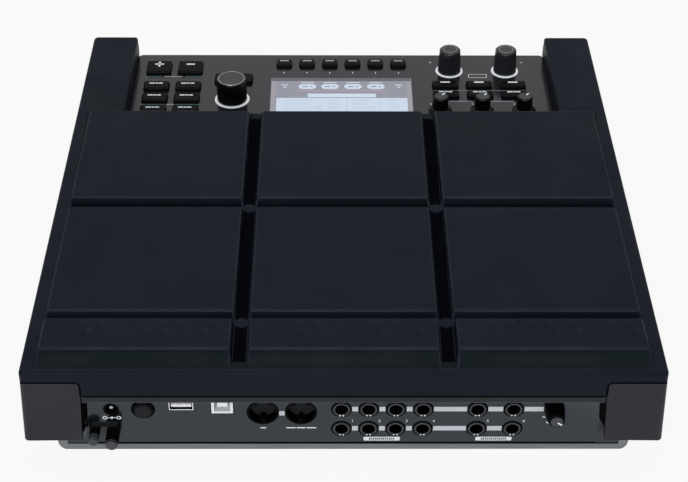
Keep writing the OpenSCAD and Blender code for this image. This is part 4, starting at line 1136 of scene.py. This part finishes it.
class PAD_OT_control_panel(bpy.types.Operator):
    """Control panel in the bay with its printed lines"""

    bl_idname = "pad.control_panel"
    bl_label = "Control panel"

    def execute(self, context):
        shape = solid_copy("control_panel")
        corner = size("panel_corner")

        def far_corner(a, b):
            far = min(a.y, b.y) > PANEL_HIGH.y - 0.1
            side = min(abs(a.x), abs(b.x)) > PANEL_HIGH.x - 0.1
            return far and side and abs(a.z - b.z) > 1

        def outside(v):
            return v.y > PANEL_HIGH.y - corner - 0.2 or abs(v.x) > PANEL_HIGH.x - corner - 0.2

        def upper_rim(a, b):
            return min(a.z, b.z) > PANEL_HIGH.z - 0.05 and outside(a) and outside(b)

        soften_outer(shape, far_corner, STEEP, corner, 6)
        soften_outer(shape, upper_rim, STEEP, size("panel_edge"))
        look = ["Control panel plastic"]
        piece("button_panel", shape, look, stands_for="control_panel")
        self.prints()
        return {"FINISHED"}

    def prints(self):
        """Group lines, frames, ticks and bars that stand for words."""
        thick = size("print_height")
        left = (middle("kit_plus_button").x + middle("kit_minus_button").x) / 2
        right = middle("select_button_2").x
        kit_row, mode_row = 151.6, 115.9
        teal = [
            bar(end - start, 0.45, in_bay(left + side * (start + end) / 2, row))
            for row, start, end in ((kit_row, 8.2, 20.1), (mode_row, 3.4, 20.0))
            for side in (-1, 1)
        ]
        printed("teal_lines", teal, "Teal print")

        # Frame round the effect buttons, and lines between the level knobs
        line, far, half = 0.4, 134.0, 31.0
        blue = [bar(2 * half, line, in_bay(right, far))]
        blue += [bar(line, 13.0, in_bay(right + side * half, far - 6.5)) for side in (-1, 1)]
        spots = [middle(n).x for n in LEVEL_KNOBS]
        blue += [bar(b - a - 11, 0.9, in_bay((a + b) / 2, 120.3)) for a, b in zip(spots, spots[1:])]
        printed("pale_blue_lines", blue, "Pale blue print")

        white = [bar(0.5, 2.0, in_bay(middle(n).x, 157.0)) for n in numbered("function_button", 6)]
        for knob, side in zip(CONTROL_KNOBS, (-1, 1)):
            centre = middle(knob)
            place = shift(centre.x + side * 12.7, centre.y + 11.4, PANEL_HIGH.z)
            white.append(disc(0.6, thick, place, 20))
        for name in LEVEL_KNOBS:
            centre = middle(name)
            place = shift(centre.x, centre.y, PANEL_HIGH.z)
            white += [bar(0.5, 1.6, place @ spun(turn) @ shift(0, 10.2)) for turn in (-0.6, 0.6)]
        white += frame_line(12.7, 4.6, 0.35, in_bay(right, 153.0))
        printed("white_marks", white, "White print")
        words = ((4.4, -4.6, kit_row), (3.0, -0.4, kit_row), (4.2, 3.7, kit_row), (5.0, 0, mode_row))
        grey = [bar(wide, 0.9, in_bay(left + across, row)) for wide, across, row in words]
        printed("grey_marks", grey, "Grey print")


class PAD_OT_buttons(bpy.types.Operator):
    """Button caps with their signs and lit bars"""

    bl_idname = "pad.buttons"
    bl_label = "Buttons"

    def execute(self, context):
        for node in BUTTONS:
            shape = solid_copy(node)
            rim = box(node)[1].z - 1.05
            soften_outer(shape, lambda a, b: min(a.z, b.z) > rim, SHALLOW, size("button_edge"), 2)
            look, bars = SIGNS[node.rstrip("_0123456789")]
            signs = [marked(bar(w, d, on_top(node, x, y)), 1) for w, d, x, y in bars]
            looks = ("Button plastic", look)
            piece(node + "_cap", [shape, *signs], looks, body=node, stands_for=node)
        return {"FINISHED"}


class PAD_OT_knobs(bpy.types.Operator):
    """Knobs of the control panel with their inlays, painted rim highlights and pointers"""

    bl_idname = "pad.knobs"
    bl_label = "Knobs"

    def execute(self, context):
        self.turned("data_knob", 8.9, "Knob plastic", 8.65, 0.65)
        for node in CONTROL_KNOBS:
            self.turned(node, 6.1, "Control knob plastic", 4.7, 0.4)
        for node in LEVEL_KNOBS:
            self.turned(node, 4.1, "Knob plastic")
        return {"FINISHED"}

    def turned(self, node, inlay, side, rim=0.0, width=0.0):
        """Knob with an inlay, and a bright rim ring as a painted highlight, or a pointer."""
        place = on_top(node)
        outline = [(0, 0), (inlay, 0), (inlay, 0.1), (inlay - 0.25, 0.18), (inlay * 0.5, 0.12), (0, 0.1)]
        parts = [solid_copy(node), marked(lathe(outline, place, 56), 1)]
        # The rim ring is bright grey, a painted highlight on the knob's top edge
        if rim:
            foot, top, low, high = width / 2, 0.3 * width, 0.02, 0.24
            outline = [(rim - foot, low), (rim + foot, low), (rim + top, high), (rim - top, high)]
            parts.append(marked(lathe(outline, place, 56, True), 2))
        else:
            pointer = place @ spun(math.radians(-38)) @ shift(0, 3.0, 0.1)
            parts.append(marked(bar(0.9, 3.0, pointer, 0.14), 3))
        looks = (side, "Knob inlay", "Bright rim", "White print")
        piece(node + "_turned", parts, looks, body=node, stands_for=node)


class PAD_OT_light_rings(bpy.types.Operator):
    """Lit rings round the larger knobs, with painted shade on the lower part of their walls"""

    bl_idname = "pad.light_rings"
    bl_label = "Light rings"

    def execute(self, context):
        shape = solid_copy("light_rings")
        top = box("light_rings")[1].z
        soften_outer(shape, lambda a, b: min(a.z, b.z) > top - 0.05, STEEP, 0.3, 2)
        # The lower part of the ring's wall takes painted shade
        marked(shape, 1, lambda c: c.z < top - 0.3)
        piece("lit_rings", shape, ("Lit ring", "Gasket"), stands_for="light_rings")
        return {"FINISHED"}


class PAD_OT_display(bpy.types.Operator):
    """Lit display with plain boxes, bars and a list"""

    bl_idname = "pad.display"
    bl_label = "Display"

    def execute(self, context):
        piece("display_glass", solid_copy("display_window"), ["Screen"], stands_for="display_window")
        centre, top = middle("display_window").x, box("display_window")[1].z
        low, high = 0.02, 0.035
        boxes = [(12, 6.4, x, 139.3, 3.1) for x in ICONS]
        boxes += [(46.4, 4.6, LIST_X, 127.9, 0.6), (LIST_WIDE, LIST_DEEP, LIST_X, LIST_Y, 0.4)]
        boxes += [(w, 1.1, x, y, 0) for x in (-38.7, 39.2) for w, y in ((4.6, 141.2), (2.2, 138.4))]
        boxes += [(9, 0.9, x, 144.5, 0) for x in ICONS]
        words = [(LIST_WIDE, 0.35, LIST_X, y, 0) for y in LIST_LINES]
        words += [(0.35, LIST_DEEP, x, LIST_Y, 0) for x in LIST_COLUMNS]
        for y, first, third in LIST_ROWS:
            words += [(w, 0.9, x + LIST_X, y, 0) for w, x in (first, (9, -5), third, (8, 34))]
        marks = [(w, 1.6, x + off, 139.3, 0.7) for x in ICONS for w, off in ((4.0, -1.6), (1.8, 2.6))]
        for name, look, thick, slabs in (
            ("screen_strips", "Screen dark", low, [(95.2, 4.6, 0, 148.6, 0)]),
            ("screen_sides", "Screen side", low, [(2.6, 49, x, 121.5, 0) for x in (-46.2, 46.2)]),
            ("screen_boxes", "Screen light", low, boxes),
            ("screen_words", "Screen faint", high, words),
            ("screen_marks", "Screen blue", high, marks),
            ("screen_line", "Screen pink", low, [(64, 0.5, -0.5, 134.0, 0)]),
        ):
            parts = [plate(w, d, thick, r, shift(centre + x, BAY_LINE + y, top)) for w, d, x, y, r in slabs]
            piece(name, parts, [look])
        return {"FINISHED"}


class PAD_OT_inner_works(bpy.types.Operator):
    """Boards, switches, sensors, cables, inserts and screws, which stay as they are packed"""

    bl_idname = "pad.inner_works"
    bl_label = "Inner works"

    def execute(self, context):
        for look, nodes in INNER.items():
            for node in nodes:
                NODES[node].data.materials[0] = finish(look)
        return {"FINISHED"}


class PAD_OT_stage(bpy.types.Operator):
    """Pale floor, soft lamps, even world light and the camera"""

    bl_idname = "pad.stage"
    bl_label = "Stage"

    def execute(self, context):
        scene = context.scene
        scene.view_settings.view_transform = "Standard"
        self.floor(scene)
        self.light(scene)
        self.camera(scene)
        return {"FINISHED"}

    def floor(self, scene):
        """Floor that the camera and mirrors see evenly pale, and that keeps the shadow."""
        shape = bmesh.new()
        bmesh.ops.create_grid(shape, x_segments=1, y_segments=1, size=FLOOR_SIZE)
        mesh = bpy.data.meshes.new("floor")
        shape.to_mesh(mesh)
        shape.free()
        made = bpy.data.objects.new("floor", mesh)
        scene.collection.objects.link(made)
        pale = bpy.data.materials.new("Pale floor")
        pale.use_nodes = True
        tree = pale.node_tree
        shader = tree.nodes["Principled BSDF"]
        paint = (*shade("floor"), 1.0)
        shader.inputs["Base Color"].default_value = paint
        shader.inputs["Roughness"].default_value = 0.9
        shader.inputs["Specular IOR Level"].default_value = 0.0
        glow = put(tree, "ShaderNodeEmission", {"Color": paint, "Strength": 1.0})
        path = put(tree, "ShaderNodeLightPath").outputs
        seen = calc(tree, "ADD", path["Is Camera Ray"], path["Is Glossy Ray"])
        share = product(tree, calc(tree, "ADD", seen, path["Is Transmission Ray"]), FLOOR_GLOW)
        blend = put(tree, "ShaderNodeMixShader", {0: share, 1: shader.outputs[0], 2: glow.outputs[0]})
        tree.links.new(blend.outputs[0], tree.nodes["Material Output"].inputs["Surface"])
        mesh.materials.append(pale)

    def light(self, scene):
        """Even world light and soft lamps that the camera doesn't see."""
        world = bpy.data.worlds.new("Even light")
        world.use_nodes = True
        world.node_tree.nodes["Background"].inputs["Color"].default_value = WORLD_LIGHT
        scene.world = world
        for name, place, aim, area, energy in LAMPS:
            lamp = bpy.data.lights.new(name, "AREA")
            lamp.shape = "RECTANGLE"
            lamp.size, lamp.size_y = area
            lamp.energy = energy
            made = bpy.data.objects.new(name, lamp)
            made.visible_camera = False
            scene.collection.objects.link(made)
            turn = (Vector(aim) - Vector(place)).to_track_quat("-Z", "Y").to_matrix().to_4x4()
            made.matrix_world = Matrix.Translation(place) @ turn

    def camera(self, scene):
        """Camera that sees the pad as the photo does."""
        lens = bpy.data.cameras.new("view")
        lens.sensor_fit = "HORIZONTAL"
        lens.sensor_width = CAMERA_SENSOR
        lens.lens = CAMERA_LENS
        lens.clip_start = 0.05
        lens.dof.use_dof = False
        made = bpy.data.objects.new("view", lens)
        scene.collection.objects.link(made)
        tilt = Matrix.Rotation(math.radians(90 - CAMERA_DOWN), 4, "X")
        yaw, roll = spun(math.radians(CAMERA_YAW)), spun(math.radians(CAMERA_ROLL))
        made.matrix_world = Matrix.Translation(CAMERA_PLACE) @ yaw @ tilt @ roll
        scene.camera = made


class PAD_PT_looks(bpy.types.Panel):
    """Buttons that dress the percussion pad"""

    bl_idname = "PAD_PT_looks"
    bl_label = "Percussion pad"
    bl_space_type = "VIEW_3D"
    bl_region_type = "UI"
    bl_category = "Percussion pad"

    def draw(self, context):
        layout = self.layout
        for step in STEPS:
            layout.operator(step.bl_idname)
        for title, group in (("Sizes", context.scene.pad_sizes), ("Colours", context.scene.pad_colours)):
            part = layout.box()
            part.label(text=title)
            for key in group.__annotations__:
                part.prop(group, key)


STEPS = [
    PAD_OT_stage,
    PAD_OT_rubber_skin,
    PAD_OT_pad_layers,
    PAD_OT_upper_case,
    PAD_OT_tray_and_feet,
    PAD_OT_socket_panel,
    PAD_OT_sockets,
    PAD_OT_socket_controls,
    PAD_OT_control_panel,
    PAD_OT_buttons,
    PAD_OT_knobs,
    PAD_OT_light_rings,
    PAD_OT_display,
    PAD_OT_inner_works,
]
CLASSES = [PadSizes, PadColours, *STEPS, PAD_PT_looks]


def register():
    """Registers the classes and their settings."""
    for item in CLASSES:
        bpy.utils.register_class(item)
    bpy.types.Scene.pad_sizes = bpy.props.PointerProperty(type=PadSizes)
    bpy.types.Scene.pad_colours = bpy.props.PointerProperty(type=PadColours)


def unregister():
    """Removes the classes and their settings."""
    del bpy.types.Scene.pad_colours
    del bpy.types.Scene.pad_sizes
    for item in reversed(CLASSES):
        bpy.utils.unregister_class(item)


def main():
    """Dresses the pad."""
    register()
    for step in STEPS:
        area, name = step.bl_idname.split(".")
        getattr(getattr(bpy.ops, area), name)()


if __name__ == "__main__":
    main()
